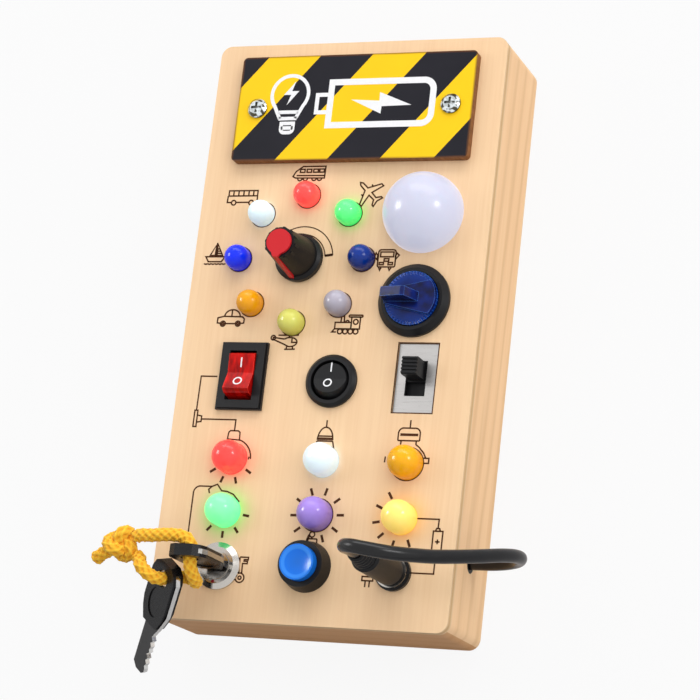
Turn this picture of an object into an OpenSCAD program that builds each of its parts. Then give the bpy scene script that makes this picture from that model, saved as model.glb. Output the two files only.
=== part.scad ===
// Wooden busy board: a shallow wooden box whose front panel carries lamps, switches,
// a key lock, a push button and a jack with its lead. It lies on its back, face up.
// X runs to the right of the face, Y up the board, Z out of the face.
// The origin is the centre of the back face.

/* [Box] */
// Width of the board
board_w = 95; // [92:1:120]
// Length of the board
board_l = 182; // [181:1:220]
// Depth of the board, back to face
board_t = 30; // [28:1:40]
// Radius of the four upright corners
corner_r = 3.5; // [3:0.5:8]
// Thickness of the front panel
panel_t = 3; // [2.5:0.5:4]
// Thickness of the back panel
back_t = 3; // [2:0.5:4]
// Thickness of the frame's walls
wall_t = 6; // [5:0.5:6.5]
// Width of the step that the back panel sits in
rebate_w = 4; // [3:0.5:4.5]

/* [Battery cover] */
// Width of the striped cover plate
sign_w = 77.4; // [72:0.5:84]
// Height of the striped cover plate
sign_h = 34.2; // [32:0.2:36]
// Thickness of the striped cover plate
sign_t = 3; // [2:0.5:4]
// Distance between the two cover screws
sign_screw_gap = 63.6; // [62:0.2:66]
// Distance from the board's upper edge to the cover
sign_inset = 5.2; // [4:0.2:8]
// Diameter of one battery
battery_d = 10.2; // [9.8:0.1:10.3]
// Length of one battery's can
battery_l = 43.5; // [42:0.5:44]
// Distance between batteries
battery_pitch = 10.4; // [10.4:0.1:10.6]

/* [Lamps] */
// Radius of a small lamp
lamp8_r = 3.85; // [3.5:0.05:4.3]
// Height of a small lamp's dome centre above the face
lamp8_rise = 2.4; // [1:0.1:4]
// Radius of the ring of small lamps
ring_r = 20.3; // [19:0.1:22]
// Place of the ring of small lamps and of the dial knob, as shares of the face
ring_place = [-0.124, 0.783];
// Radius of a large lamp
lamp10_r = 4.9; // [4.5:0.1:5.5]
// Height of a large lamp's dome centre above the face
lamp10_rise = 3.3; // [1:0.1:5]
// Columns of the large lamps, as shares of the face's width
lamp_columns = [-0.275, 0.037, 0.316];
// Rows of the large lamps, as shares of the face's height
lamp_rows = [0.344, 0.23];
// Radius of the white dome
dome_r = 12.4; // [11.5:0.1:12.8]
// Place of the white dome, as shares of the face
dome_place = [0.281, 0.883];
// Wall of the white dome
dome_wall = 1.2; // [0.8:0.1:2]

/* [Dial knob] */
// Radius of the knob's skirt
knob_skirt_r = 7.5; // [7:0.1:9]
// Radius of the knob's top
knob_top_r = 4.7; // [4.2:0.1:5.5]
// Height of the knob's top above the face
knob_h = 16.8; // [14:0.2:20]
// Direction that the knob's pointer has at rest
knob_angle = -98; // [-150:1:0]

/* [Selector] */
// Place of the blue selector, as shares of the face
selector_place = [0.281, 0.691];
// Radius of the selector's black ring
selector_r = 11.2; // [10.8:0.1:12]
// Radius of the selector's neck
selector_neck_r = 7.9; // [7:0.1:8.2]

/* [Rockers] */
// Place of the red rocker, as shares of the face
rocker_place = [-0.273, 0.522];
// Width of the red rocker's frame
rocker_w = 15; // [14:0.5:16]
// Length of the red rocker's frame
rocker_l = 21; // [20.5:0.5:23]
// Swing of the red rocker, end to end
rocker_swing = 22; // [16:1:24]
// Place of the round rocker, as shares of the face
round_place = [0.034, 0.515];
// Radius of the round rocker's flange
round_r = 8.1; // [7.2:0.1:8.5]
// Swing of the round rocker, end to end
round_swing = 18; // [12:1:20]

/* [Slide switch] */
// Place of the slide switch, as shares of the face
slide_place = [0.311, 0.526];
// Width of the slide switch's metal plate
slide_w = 12.4; // [11.5:0.1:13]
// Length of the slide switch's metal plate
slide_l = 21; // [20.5:0.5:23]
// Travel of the slider
slide_travel = 4.6; // [3:0.2:5]

/* [Key lock] */
// Place of the lock, as shares of the face
lock_place = [-0.275, 0.114];
// Radius of the lock's bright ring
lock_r = 7.1; // [6.8:0.1:8]
// Radius of the lock's barrel
lock_barrel_r = 5.9; // [5.5:0.1:6.1]
// Width of a key's head
key_w = 12; // [11:0.5:14]
// Length of a key's head
key_head_l = 21.5; // [20:0.5:22.5]
// Length of a key's blade
key_blade_l = 16; // [14:0.5:17]
// Width of a key's blade
key_blade_w = 6; // [5:0.2:6.4]
// Thickness of a key's blade
key_blade_t = 1.4; // [1:0.1:1.6]
// Thickness of a key's head
key_head_t = 3.4; // [3:0.1:3.8]
// Diameter of the rope that joins the keys
rope_d = 4; // [3:0.1:4.2]
// Radius of the rope's knot
knot_r = 5.8; // [5.5:0.1:6]

/* [Push button] */
// Place of the push button, as shares of the face
button_place = [0.023, 0.121];
// Radius of the push button's black body at the face
button_r = 7.65; // [7.4:0.05:8.5]
// Radius of the blue cap
cap_r = 5.3; // [5.1:0.1:6]
// Travel of the blue cap
cap_travel = 2.4; // [1.5:0.1:2.6]

/* [Jack and lead] */
// Place of the jack, as shares of the face
jack_place = [0.311, 0.117];
// Radius of the jack's black flange
jack_r = 5.4; // [5.2:0.1:6.2]
// Radius of the plug's grip
plug_r = 4.3; // [3.8:0.1:4.5]
// Diameter of the lead
lead_d = 4; // [3.4:0.1:4.2]

/* [Hidden] */
$fn = 64;
eps = 0.01;

// Levels from the resting face up
face_z = board_t;
panel_z = face_z - panel_t;

// Layout: X is a share of the board's width from its middle, Y a share of the face below the
// cover from the board's lower edge
sign_at = [0.6, board_l / 2 - sign_inset - sign_h / 2];
field_l = board_l / 2 + sign_at[1] - sign_h / 2;
function column(share) = share * board_w;
function row(share) = share * field_l - board_l / 2;
function place(p) = [column(p[0]), row(p[1])];
ring_at = place(ring_place);
dome_at = place(dome_place);
selector_at = place(selector_place);
rocker_at = place(rocker_place);
round_at = place(round_place);
slide_at = place(slide_place);
lock_at = place(lock_place);
button_at = place(button_place);
jack_at = place(jack_place);
lamp10_x = [for (c = lamp_columns) column(c)];
lamp10_y = [for (r = lamp_rows) row(r)];

// Fits
lamp_fit = 0.1;
body_fit = 0.15;
turn_fit = 0.05;
slide_fit = 0.2;
seat_fit = 0.1;

// Circuit boards behind the panel
pcb_t = 1.6;
pcb_gap = 6;
pcb_top = panel_z - pcb_gap;
ring_pcb_r = ring_r + 3;
lamp_pcb = [lamp10_x[2] - lamp10_x[0] + 14, lamp10_y[0] - lamp10_y[1] + 10];
lamp_pcb_at = [(lamp10_x[0] + lamp10_x[2]) / 2, (lamp10_y[0] + lamp10_y[1]) / 2];
standoff_r = 1.9;
pcb_screw_r = 0.95;
pcb_screw_head = [2.1, 1.2];
pcb_screw_bite = 2;
pcb_screw_gap = 0.15;

// Battery bay
holder_wall = 1.2;
bay_w = battery_l + 5.9;
bay_h = 3 * battery_pitch;
bay_at = [sign_at[0], sign_at[1] - 1.2];
bay_lip = 0.4;
holder_h = battery_d + 3.3;
battery_z = panel_z - holder_h + holder_wall + battery_d / 2 + 0.1;
battery_nub = [1.9, 0.8];
contact = [3.6, 0.2];
coil_r = [3.2, 2];
spring_l = bay_w - battery_l - battery_nub[1] - 2 * contact[1];
block_size = [8.4, 16, 8];

// Screws
cover_screw_r = 1.5;
cover_screw_head = [3.1, 1.5];
cover_screw_l = sign_t + panel_t + 6;
back_screw_r = 1;
back_screw_head = 1.75;
back_screw_head_h = 1.25;
back_screw_l = 12;
back_screw_corner = 8;
back_screw_x = board_w / 2 - wall_t + rebate_w / 2;
back_screw_y = board_l / 2 - wall_t + rebate_w / 2 - back_screw_corner;

// Dial
shaft_r = 2.95;
bush_r = 3.5;
dial_body_r = 8;
nut_h = 1.6;
knob_gap = 0.4;
knob_skirt_h = 2.4;
knob_cap_t = 0.9;

// Selector
selector_rim = 3;
selector_disc_r = 8.3;
selector_depth = 20;
selector_shaft_r = 2.5;
handle_h = 8;
handle_w = 2.9;

// Rockers
rocker_depth = 16;
rocker_window = [8.8, 15.4];
rocker_half = 6.7;
rocker_arc = 7.5;
rocker_peak = 5.2;
rocker_dip = 3.4;
rocker_pivot_z = face_z - 1;
pin_r = 1;
pin_l = 1;
round_window_r = 6.15;
round_ball_r = 5.9;
round_body_r = 6.8;
round_dip = 2.8;
round_peak = 3.7;

// Slide switch
slide_plate_t = 0.8;
slide_plate_z = face_z - 1.3;
slide_body_size = [9.6, 16, 8];
slide_stem = [4.8, 5.4, 7.4];
slide_foot = [7.4, 6.4, 1.6];
slide_slot = [slide_stem[0] + 1.6, slide_stem[1] + slide_travel + 0.8];

// Lock
lock_ring_h = 1.8;
lock_depth = 20;
cylinder_r = 4.2;
keyway = [key_blade_w + 0.4, key_blade_t + 0.3];
cam = [4, 11, 1.5];
key_base_z = face_z + 3.6;
key_hole_r = rope_d / 2 + 0.7;
key_hole_drop = 5;
key_side = 1.1;
// Shallow oval in both faces of a key head: half width, half length, place, depth
key_dish = [3.4, 5, 8.2, 0.35];
core_fit = 0.05;
tooth = 0.5;
spare_top = [-7.3, -2.9, 12.9];
spare_turn = [40, 39, 0];
spare_twist = -65;

// Push button
button_top = 5.5;
button_taper = 0.75;
button_neck_r = 5.6;
button_depth = 16;
cap_rise = button_top + cap_travel + 0.3;
cap_h = 4.6;
dish_r = 16;
dish_depth = 0.7;
cap_stem_r = 2;
spring_z = face_z - 7;
spring_r = 3.4;

// Jack
jack_ring = [4.8, 1.6];
jack_neck_r = 3.9;
jack_bore_r = 2.75;
jack_depth = 16;
jack_flange = 1.4;
plug_tip_l = 9;
plug_tip_r = 2.7;
plug_top = face_z + 24;
relief_l = 7;
relief_top = plug_top + relief_l;

// Nuts behind or in front of the panel: place, bore radius, outer radius, height
nuts = [
    [[ring_at[0], ring_at[1], face_z], bush_r, 5.2, nut_h],
    [[selector_at[0], selector_at[1], panel_z - 3.5], selector_neck_r, 10.4, 3.5],
    [[lock_at[0], lock_at[1], panel_z - 3], lock_barrel_r, 8.2, 3],
    [[button_at[0], button_at[1], panel_z - 2.6], button_neck_r, 7.6, 2.6],
];

// The ring's lamps, each a name's place in the circle
ring_step = 45;

// Route of the lead, from the plug's relief to the hole in the right wall, its Y measured from
// the jack
lead_hole = [board_w / 2, jack_at[1] + 6.6, 15.7];
lead_route = [
    [jack_at[0], jack_at[1], relief_top], [jack_at[0], jack_at[1], relief_top + 4.5],
    for (p = [
        [29.8, -0.3, 69.8], [31.2, -0.7, 73.2], [34, -1.1, 75.2], [37.4, -1.6, 75.4],
        [41.2, -1.9, 74], [45.2, -1.9, 71.1], [49, -1.4, 67], [52.4, -0.6, 62],
        [55.6, 0.5, 57], [58.8, 1.8, 51.5], [61.9, 3.3, 45.5], [64.6, 4.9, 39],
        [66.2, 6.1, 32.5], [66, 6.7, 26.5], [63.6, 6.8, 21.3], [59.5, 6.7, 17.9],
        [55, 6.6, 16.2],
    ]) p + [0, jack_at[1], 0],
    [lead_hole[0] + 3.5, lead_hole[1], lead_hole[2]], lead_hole,
];
inner_route = [
    lead_hole, [lead_hole[0] - 8, lead_hole[1], lead_hole[2]],
    for (p = [
        [35.5, 6.6, 15.2], [32, 7.9, 13.2], [28.5, 10.8, 11.4], [24, 14.3, 11], [18, 17.3, 11],
    ]) p + [0, jack_at[1], 0],
];

// Route of the rope, from the knot through both keys and back to the knot, measured as the
// spare key is, from the root of the key in the lock
knot_at = [-23.3, 2, 14.8];
rope_end = knot_r + 0.05;
rope_route = [
    knot_at + rope_end * unit([4.6, 1.7, 1.4]), knot_at + (rope_end + 1.7) * unit([4.6, 1.7, 1.4]),
    [-13.3, 4.3, 17.4], [-9.5, 4.6, 17.8], [-5.7, 4.8, 17.6], [-2.5, 4.5, 17],
    [-0.6, 3.3, 16.5], [0, 1.5, 16.3], [0, -1.7, 16.3], [0.1, -3.8, 15.7],
    [0.2, -5.5, 14], [0.1, -6.9, 11.4], [-0.7, -7.3, 8.8], [-2.2, -6.2, 6],
    [-4.6, -5.4, 4.7], [-6.8, -5.4, 5.9], [-8.1, -6.1, 8.2], [-9.3, -6.75, 10.4],
    [-10.5, -7.4, 12.7], [-12, -7.3, 14.9], [-14, -5.9, 16.2], [-16.2, -3.8, 15.9],
    knot_at + (rope_end + 1.7) * unit([4.2, -2.6, -0.4]), knot_at + rope_end * unit([4.2, -2.6, -0.4]),
];
rope_tail = [
    knot_at + rope_end * unit([-4, -1.9, -0.8]), knot_at + (rope_end + 2) * unit([-4, -1.9, -0.8]),
    [-31.9, -2.1, 12.4],
];

// A tube of sides faces that follows the points of route
function unit(v) = v / norm(v);
function route_dir(p, i) =
    unit(p[min(i + 1, len(p) - 1)] - p[max(i - 1, 0)]);
function ring_side(p, i, side) =
    i == 0 ? unit(side - route_dir(p, 0) * (side * route_dir(p, 0)))
    : let (s = ring_side(p, i - 1, side), d = route_dir(p, i)) unit(s - d * (s * d));
module tube_along(route, r, sides, side = [0, 1, 0.01]) {
    n = len(route);
    points = [
        for (i = [0 : n - 1])
            let (d = route_dir(route, i), s = ring_side(route, i, side), t = cross(d, s))
            for (k = [0 : sides - 1])
                let (a = 360 * k / sides) route[i] + r * (cos(a) * s + sin(a) * t)
    ];
    walls = [
        for (i = [0 : n - 2], k = [0 : sides - 1])
            let (a = i * sides + k, b = i * sides + (k + 1) % sides)
            each [[a, a + sides, b], [b, a + sides, b + sides]]
    ];
    ends = [
        [for (k = [0 : sides - 1]) k],
        [for (k = [sides - 1 : -1 : 0]) (n - 1) * sides + k],
    ];
    polyhedron(points, concat(walls, ends), convexity = 8);
}

// A block with round upright corners, standing on z = 0
module round_block(w, l, h, r) {
    translate([-w / 2 + r, -l / 2, 0]) cube([w - 2 * r, l, h]);
    translate([-w / 2, -l / 2 + r, 0]) cube([w, l - 2 * r, h]);
    for (x = [-1, 1], y = [-1, 1])
        translate([x * (w / 2 - r), y * (l / 2 - r), 0]) cylinder(r = r, h = h);
}

// A block centred on x and y
module block(w, l, h) {
    translate([-w / 2, -l / 2, 0]) cube([w, l, h]);
}

// Places its children at a point of the face, at height z
module on_face(at, z = 0) {
    translate([at[0], at[1], z]) children();
}

// Centre of the ring lamp with a given place in the circle
function ring_lamp(i) =
    [ring_at[0] + ring_r * cos(ring_step * i), ring_at[1] + ring_r * sin(ring_step * i)];

// The boards' standoffs stand midway between neighbouring lamps
ring_standoffs = [for (k = [0.5 : 2 : 6.5]) ring_lamp(k)];
lamp_standoffs = [for (c = [0, 1], y = lamp10_y) [(lamp10_x[c] + lamp10_x[c + 1]) / 2, y]];
standoffs = concat(ring_standoffs, lamp_standoffs);

module front_panel() {
    color("burlywood") difference() {
        translate([0, 0, panel_z]) round_block(board_w, board_l, panel_t, corner_r);
        translate([0, 0, panel_z - eps]) {
            h = panel_t + 2 * eps;
            for (i = [0 : 7]) on_face(ring_lamp(i)) cylinder(r = lamp8_r + lamp_fit, h = h);
            for (x = lamp10_x, y = lamp10_y)
                on_face([x, y]) cylinder(r = lamp10_r + lamp_fit, h = h);
            on_face(dome_at) cylinder(r = dome_r - 1.6 + seat_fit, h = h);
            on_face(ring_at) cylinder(r = bush_r + seat_fit, h = h);
            on_face(selector_at) cylinder(r = selector_neck_r + seat_fit, h = h);
            on_face(rocker_at)
                block(rocker_w - 2.4 + 2 * body_fit, rocker_l - 2.4 + 2 * body_fit, h);
            on_face(round_at) cylinder(r = round_body_r + seat_fit, h = h);
            on_face(slide_at)
                block(slide_body_size[0] + 2 * body_fit, slide_body_size[1] + 2 * body_fit, h);
            on_face(lock_at) cylinder(r = lock_barrel_r + seat_fit, h = h);
            on_face(button_at) cylinder(r = button_neck_r + seat_fit, h = h);
            on_face(jack_at) cylinder(r = jack_neck_r + seat_fit, h = h);
            on_face(bay_at) block(bay_w - 2 * bay_lip, bay_h - 2 * bay_lip, h);
            for (x = [-1, 1])
                on_face([sign_at[0] + x * sign_screw_gap / 2, sign_at[1]])
                    cylinder(r = cover_screw_r + turn_fit, h = h);
            for (p = standoffs)
                on_face(p) cylinder(r = pcb_screw_r + turn_fit, h = pcb_screw_bite + 0.1 + eps);
        }
        on_face(slide_at, slide_plate_z)
            block(slide_w + 2 * body_fit, slide_l + 2 * body_fit, panel_t);
    }
}

module body_frame() {
    color("tan") difference() {
        round_block(board_w, board_l, panel_z, corner_r);
        translate([0, 0, -eps])
            round_block(board_w - 2 * wall_t, board_l - 2 * wall_t, panel_z + 2 * eps, 2);
        translate([0, 0, -eps])
            round_block(board_w - 2 * (wall_t - rebate_w), board_l - 2 * (wall_t - rebate_w),
                back_t + eps, 2);
        for (x = [-1, 1], y = [-1, 1])
            on_face([x * back_screw_x, y * back_screw_y])
                cylinder(r = back_screw_r + turn_fit, h = back_screw_l + 0.3);
        translate(lead_hole + [eps, 0, 0]) rotate([0, -90, 0])
            cylinder(r = lead_d / 2 + 1.1, h = wall_t + 2 * eps);
    }
}

module back_panel() {
    w = board_w - 2 * (wall_t - rebate_w) - 2 * seat_fit;
    l = board_l - 2 * (wall_t - rebate_w) - 2 * seat_fit;
    color("burlywood") difference() {
        round_block(w, l, back_t, 2);
        for (x = [-1, 1], y = [-1, 1]) on_face([x * back_screw_x, y * back_screw_y]) {
            translate([0, 0, -eps]) cylinder(r = back_screw_r + turn_fit, h = back_t + 2 * eps);
            translate([0, 0, -eps])
                cylinder(r1 = back_screw_head + 0.1, r2 = back_screw_r,
                    h = back_screw_head_h + 0.15);
        }
    }
}

module back_screws() {
    color("silver") for (x = [-1, 1], y = [-1, 1])
        on_face([x * back_screw_x, y * back_screw_y]) difference() {
            union() {
                cylinder(r1 = back_screw_head, r2 = back_screw_r, h = back_screw_head_h);
                cylinder(r = back_screw_r, h = back_screw_l);
            }
            for (a = [0, 90]) rotate([0, 0, a])
                translate([0, 0, -eps]) block(0.5, 1.5 * back_screw_head, 0.5);
        }
}

module sign_plate() {
    color("gold") difference() {
        on_face(sign_at, face_z) round_block(sign_w, sign_h, sign_t, 1.5);
        for (x = [-1, 1])
            on_face([sign_at[0] + x * sign_screw_gap / 2, sign_at[1]], face_z - eps)
                cylinder(r = cover_screw_r + turn_fit, h = sign_t + 2 * eps);
    }
}

module sign_screws() {
    color("silver") for (x = [-1, 1])
        on_face([sign_at[0] + x * sign_screw_gap / 2, sign_at[1]], face_z + sign_t)
            difference() {
                union() {
                    cylinder(r = cover_screw_head[0], h = 0.6);
                    translate([0, 0, 0.6]) cylinder(r1 = cover_screw_head[0],
                        r2 = cover_screw_head[0] - 1, h = cover_screw_head[1] - 0.6);
                    translate([0, 0, -cover_screw_l]) cylinder(r = cover_screw_r, h = cover_screw_l);
                }
                for (a = [0, 90]) rotate([0, 0, a])
                    translate([0, 0, 0.5]) block(0.8, 1.1 * cover_screw_head[0], 2);
            }
}

module screw_blocks() {
    color("peru") for (x = [-1, 1])
        on_face([sign_at[0] + x * sign_screw_gap / 2, sign_at[1]], panel_z - block_size[2])
            difference() {
                block(block_size[0], block_size[1], block_size[2]);
                translate([0, 0, -eps])
                    cylinder(r = cover_screw_r + turn_fit, h = block_size[2] + 2 * eps);
            }
}

module battery_holder() {
    color("dimgray") on_face(bay_at, panel_z - holder_h) difference() {
        block(bay_w + 2 * holder_wall, bay_h + 2 * holder_wall, holder_h);
        translate([0, 0, holder_wall]) block(bay_w, bay_h, holder_h);
    }
}

module batteries() {
    color("darkslategray") for (k = [-1 : 1])
        translate([bay_at[0], bay_at[1] + k * battery_pitch, battery_z])
            rotate([0, 0, 180 * (k + 1)]) rotate([0, 90, 0])
            translate([0, 0, -bay_w / 2 + contact[1] + spring_l]) {
                cylinder(r = battery_d / 2, h = battery_l);
                translate([0, 0, battery_l]) cylinder(r = battery_nub[0], h = battery_nub[1]);
            }
}

module battery_springs() {
    color("silver") for (k = [-1 : 1])
        translate([bay_at[0], bay_at[1] + k * battery_pitch, battery_z])
            rotate([0, 0, 180 * (k + 1)]) rotate([0, 90, 0])
            translate([0, 0, -bay_w / 2]) {
                cylinder(r = contact[0], h = contact[1]);
                translate([0, 0, contact[1]]) cylinder(r1 = coil_r[0], r2 = coil_r[1], h = spring_l);
                translate([0, 0, bay_w - contact[1]]) cylinder(r = contact[0], h = contact[1]);
            }
}

// A lamp: a flange behind the panel, a round body through it, a dome and two legs
module lamp(at, r, rise) {
    on_face(at) {
        translate([0, 0, panel_z - 1.7]) cylinder(r = r + 0.6, h = 1.7);
        translate([0, 0, panel_z - eps]) cylinder(r = r, h = panel_t + rise + eps);
        translate([0, 0, face_z + rise]) sphere(r = r);
        for (x = [-1, 1]) translate([1.27 * x, 0, pcb_top]) block(0.6, 0.6, panel_z - pcb_top);
    }
}
module small_lamp(i) { lamp(ring_lamp(i), lamp8_r, lamp8_rise); }
module large_lamp(col, row) { lamp([lamp10_x[col], lamp10_y[row]], lamp10_r, lamp10_rise); }

module lamp_ring_white() { color("white") small_lamp(3); }
module lamp_ring_red() { color("tomato") small_lamp(2); }
module lamp_ring_green() { color("springgreen") small_lamp(1); }
module lamp_ring_blue() { color("mediumblue") small_lamp(4); }
module lamp_ring_navy() { color("navy") small_lamp(0); }
module lamp_ring_orange() { color("orange") small_lamp(5); }
module lamp_ring_lime() { color("yellowgreen") small_lamp(6); }
module lamp_ring_grey() { color("lightslategray") small_lamp(7); }
module lamp_red() { color("tomato") large_lamp(0, 0); }
module lamp_green() { color("springgreen") large_lamp(0, 1); }
module lamp_white() { color("white") large_lamp(1, 0); }
module lamp_violet() { color("mediumpurple") large_lamp(1, 1); }
module lamp_orange() { color("orange") large_lamp(2, 0); }
module lamp_yellow() { color("gold") large_lamp(2, 1); }

// A circuit board behind the panel: its outline with a hole for each screw
module circuit_board(places) {
    color("darkgreen") difference() {
        children();
        for (p = places) on_face(p, pcb_top - pcb_t - eps)
            cylinder(r = pcb_screw_r + pcb_screw_gap, h = pcb_t + 2 * eps);
    }
}
module ring_board() {
    circuit_board(ring_standoffs)
        on_face(ring_at, pcb_top - pcb_t) cylinder(r = ring_pcb_r, h = pcb_t);
}
module lamp_board() {
    circuit_board(lamp_standoffs)
        on_face(lamp_pcb_at, pcb_top - pcb_t) block(lamp_pcb[0], lamp_pcb[1], pcb_t);
}

// Standoff tubes between the boards and the panel, each round its own screw
module board_standoffs() {
    color("silver") for (p = standoffs) {
        on_face(p, pcb_top) difference() {
            cylinder(r = standoff_r, h = pcb_gap);
            translate([0, 0, -eps])
                cylinder(r = pcb_screw_r + pcb_screw_gap, h = pcb_gap + 2 * eps);
        }
        on_face(p, pcb_top - pcb_t) {
            translate([0, 0, -pcb_screw_head[1]])
                cylinder(r = pcb_screw_head[0], h = pcb_screw_head[1]);
            cylinder(r = pcb_screw_r, h = pcb_t + pcb_gap + pcb_screw_bite);
        }
    }
}

module dome_lens() {
    color("whitesmoke") on_face(dome_at, face_z) difference() {
        union() {
            cylinder(r = dome_r, h = 0.8);
            translate([0, 0, 0.8]) intersection() {
                sphere(r = dome_r);
                cylinder(r = dome_r + 1, h = dome_r + 1);
            }
            translate([0, 0, -panel_t]) cylinder(r = dome_r - 1.6, h = panel_t + eps);
        }
        translate([0, 0, 0.8]) intersection() {
            sphere(r = dome_r - dome_wall);
            translate([0, 0, -0.5]) cylinder(r = dome_r - 1.6 - dome_wall, h = dome_r + 1);
        }
        translate([0, 0, -panel_t - eps])
            cylinder(r = dome_r - 1.6 - dome_wall, h = panel_t + 1.5);
    }
}

module dome_board() {
    color("ivory") on_face(dome_at, panel_z - pcb_t) {
        cylinder(r = dome_r - 0.4, h = pcb_t);
        for (a = [0 : 120 : 240]) rotate([0, 0, a])
            translate([4.5, 0, pcb_t - eps]) block(3.5, 2.8, 1.2);
    }
}

module dial_body() {
    color("slategray") on_face(ring_at, pcb_top) difference() {
        union() {
            cylinder(r = dial_body_r, h = pcb_gap);
            cylinder(r = bush_r, h = face_z + 3 - pcb_top);
        }
        translate([0, 0, 1]) cylinder(r = shaft_r + turn_fit, h = board_t);
    }
}

module dial_shaft() {
    color("silver") on_face(ring_at, pcb_top + 1 + turn_fit)
        cylinder(r = shaft_r, h = face_z + knob_h - 3 - pcb_top - 1 - turn_fit);
}

module dial_knob() {
    base = nut_h + knob_gap;
    color("black") on_face(ring_at, face_z) difference() {
        union() {
            translate([0, 0, 0.6]) cylinder(r = knob_skirt_r, h = knob_skirt_h - 0.6);
            translate([0, 0, knob_skirt_h])
                cylinder(r1 = knob_skirt_r, r2 = knob_skirt_r - 0.9, h = 0.9);
            translate([0, 0, knob_skirt_h])
                cylinder(r1 = knob_skirt_r - 1.1, r2 = knob_top_r, h = knob_h - knob_skirt_h);
            for (a = [30 : 30 : 330]) rotate([0, 0, knob_angle + a])
                translate([0, 0, knob_skirt_h])
                    linear_extrude(height = knob_h - knob_skirt_h - 0.4)
                        polygon([[0, -0.35], [knob_top_r + 0.35, -0.35],
                            [knob_top_r + 0.35, 0.35], [0, 0.35]]);
        }
        translate([0, 0, -eps]) cylinder(r = 5.6, h = base + eps);
        translate([0, 0, base]) cylinder(r = bush_r + 0.25, h = 3.4 - base);
        cylinder(r = shaft_r + 0.02, h = knob_h - 3 + 0.05);
        rotate([0, 0, knob_angle]) translate([knob_top_r - 1.1, -0.85, knob_skirt_h])
            cube([8, 1.7, knob_h]);
    }
}

// Pointer cap: a drop-shaped top with a strip down the knob's side
module dial_cap() {
    strip_r = knob_top_r - 1.1;
    color("red") on_face(ring_at, face_z + knob_h) {
        cylinder(r = knob_top_r - 0.8, h = knob_cap_t);
        rotate([0, 0, knob_angle]) {
            linear_extrude(height = knob_cap_t)
                polygon([[0, -knob_top_r + 0.9], [strip_r + 1.2, -0.8],
                    [strip_r + 1.2, 0.8], [0, knob_top_r - 0.9]]);
            translate([strip_r + 0.05, -0.8, 0]) rotate([90, 0, 0])
                mirror([0, 0, 1]) linear_extrude(height = 1.6)
                polygon([[0, knob_cap_t - eps], [1.15, knob_cap_t - eps],
                    [knob_skirt_r - strip_r - 0.6, knob_skirt_h - knob_h + 0.3],
                    [0, knob_skirt_h - knob_h + 0.3]]);
        }
    }
}

module selector_body() {
    color("dimgray") on_face(selector_at, face_z) difference() {
        union() {
            cylinder(r = selector_r, h = 1.2);
            translate([0, 0, 1.2])
                cylinder(r1 = selector_r, r2 = selector_r - 1.6, h = selector_rim - 1.2);
            translate([0, 0, -selector_depth + 6]) cylinder(r = selector_neck_r - 0.02,
                h = selector_depth - 6 + eps);
            translate([0, 0, -selector_depth - 1.5]) block(15, 15, 7.5);
        }
        translate([0, 0, 1]) cylinder(r = selector_disc_r + 0.3, h = selector_rim);
        translate([0, 0, -8]) cylinder(r = selector_shaft_r + turn_fit, h = 12);
    }
}

// Blue turning handle, its bar pointing to -X at rest
module selector_knob() {
    color("mediumblue") on_face(selector_at, face_z + 1.3) {
        translate([0, 0, -9]) cylinder(r = selector_shaft_r, h = 9 + eps);
        cylinder(r = selector_disc_r, h = 2.2);
        translate([0, 0, 2.2 - eps]) intersection() {
            cylinder(r1 = selector_disc_r, r2 = selector_disc_r - 1, h = handle_h);
            union() {
                linear_extrude(height = 1.6)
                    polygon([[-8.2, -handle_w / 2 - 0.6], [7.6, -5.5], [8.3, 0], [7.6, 5.5],
                        [-8.2, handle_w / 2 + 0.6]]);
                rotate([90, 0, 0]) translate([0, 0, -handle_w / 2])
                    linear_extrude(height = handle_w)
                    polygon([[-8.3, 0], [3.4, 0], [0.6, handle_h - 0.4], [-0.6, handle_h],
                        [-7.4, handle_h - 1.4], [-8.3, handle_h - 2.2]]);
            }
        }
    }
}

module rocker_frame() {
    w = rocker_w - 2.4;
    l = rocker_l - 2.4;
    color("black") on_face(rocker_at, face_z) difference() {
        union() {
            block(rocker_w, rocker_l, 1.2);
            translate([0, 0, 1.2]) block(rocker_w - 0.8, rocker_l - 0.8, 0.8);
            translate([0, 0, -rocker_depth]) block(w, l, rocker_depth + eps);
        }
        translate([0, 0, -9.5]) block(rocker_window[0], rocker_window[1], 12);
        translate([0, 0, rocker_pivot_z - face_z]) rotate([0, 90, 0])
            cylinder(r = pin_r + turn_fit, h = rocker_window[0] + 2 * pin_l + 0.3, center = true);
    }
}

// Side view of a rocker about its pivot: two slopes that meet in a dip
module rocker_side(half, peak, dip, low) {
    polygon([[-half, low], [half, low], [half, peak], [0, dip], [-half, peak]]);
}

module rocker_button() {
    w = rocker_window[0] - 2 * slide_fit;
    color("red") on_face(rocker_at, rocker_pivot_z) rotate([-rocker_swing / 2, 0, 0]) {
        intersection() {
            translate([-w / 2, 0, 0]) rotate([90, 0, 90]) linear_extrude(height = w)
                rocker_side(rocker_half, rocker_peak, rocker_dip, -3.4);
            rotate([0, 90, 0]) cylinder(r = rocker_arc, h = w + 2, center = true);
        }
        rotate([0, 90, 0])
            cylinder(r = pin_r, h = rocker_window[0] + 2 * pin_l - 0.2, center = true);
    }
}

module round_frame() {
    color("black") on_face(round_at, face_z) difference() {
        union() {
            cylinder(r = round_r, h = 1);
            translate([0, 0, 1]) cylinder(r1 = round_r, r2 = round_r - 0.9, h = 0.9);
            translate([0, 0, -rocker_depth]) cylinder(r = round_body_r, h = rocker_depth + eps);
        }
        translate([0, 0, -8]) cylinder(r = round_window_r, h = 12);
        translate([0, 0, rocker_pivot_z - face_z]) rotate([0, 90, 0])
            cylinder(r = 0.7 + turn_fit, h = 2 * round_window_r + 0.9, center = true);
    }
}

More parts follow.
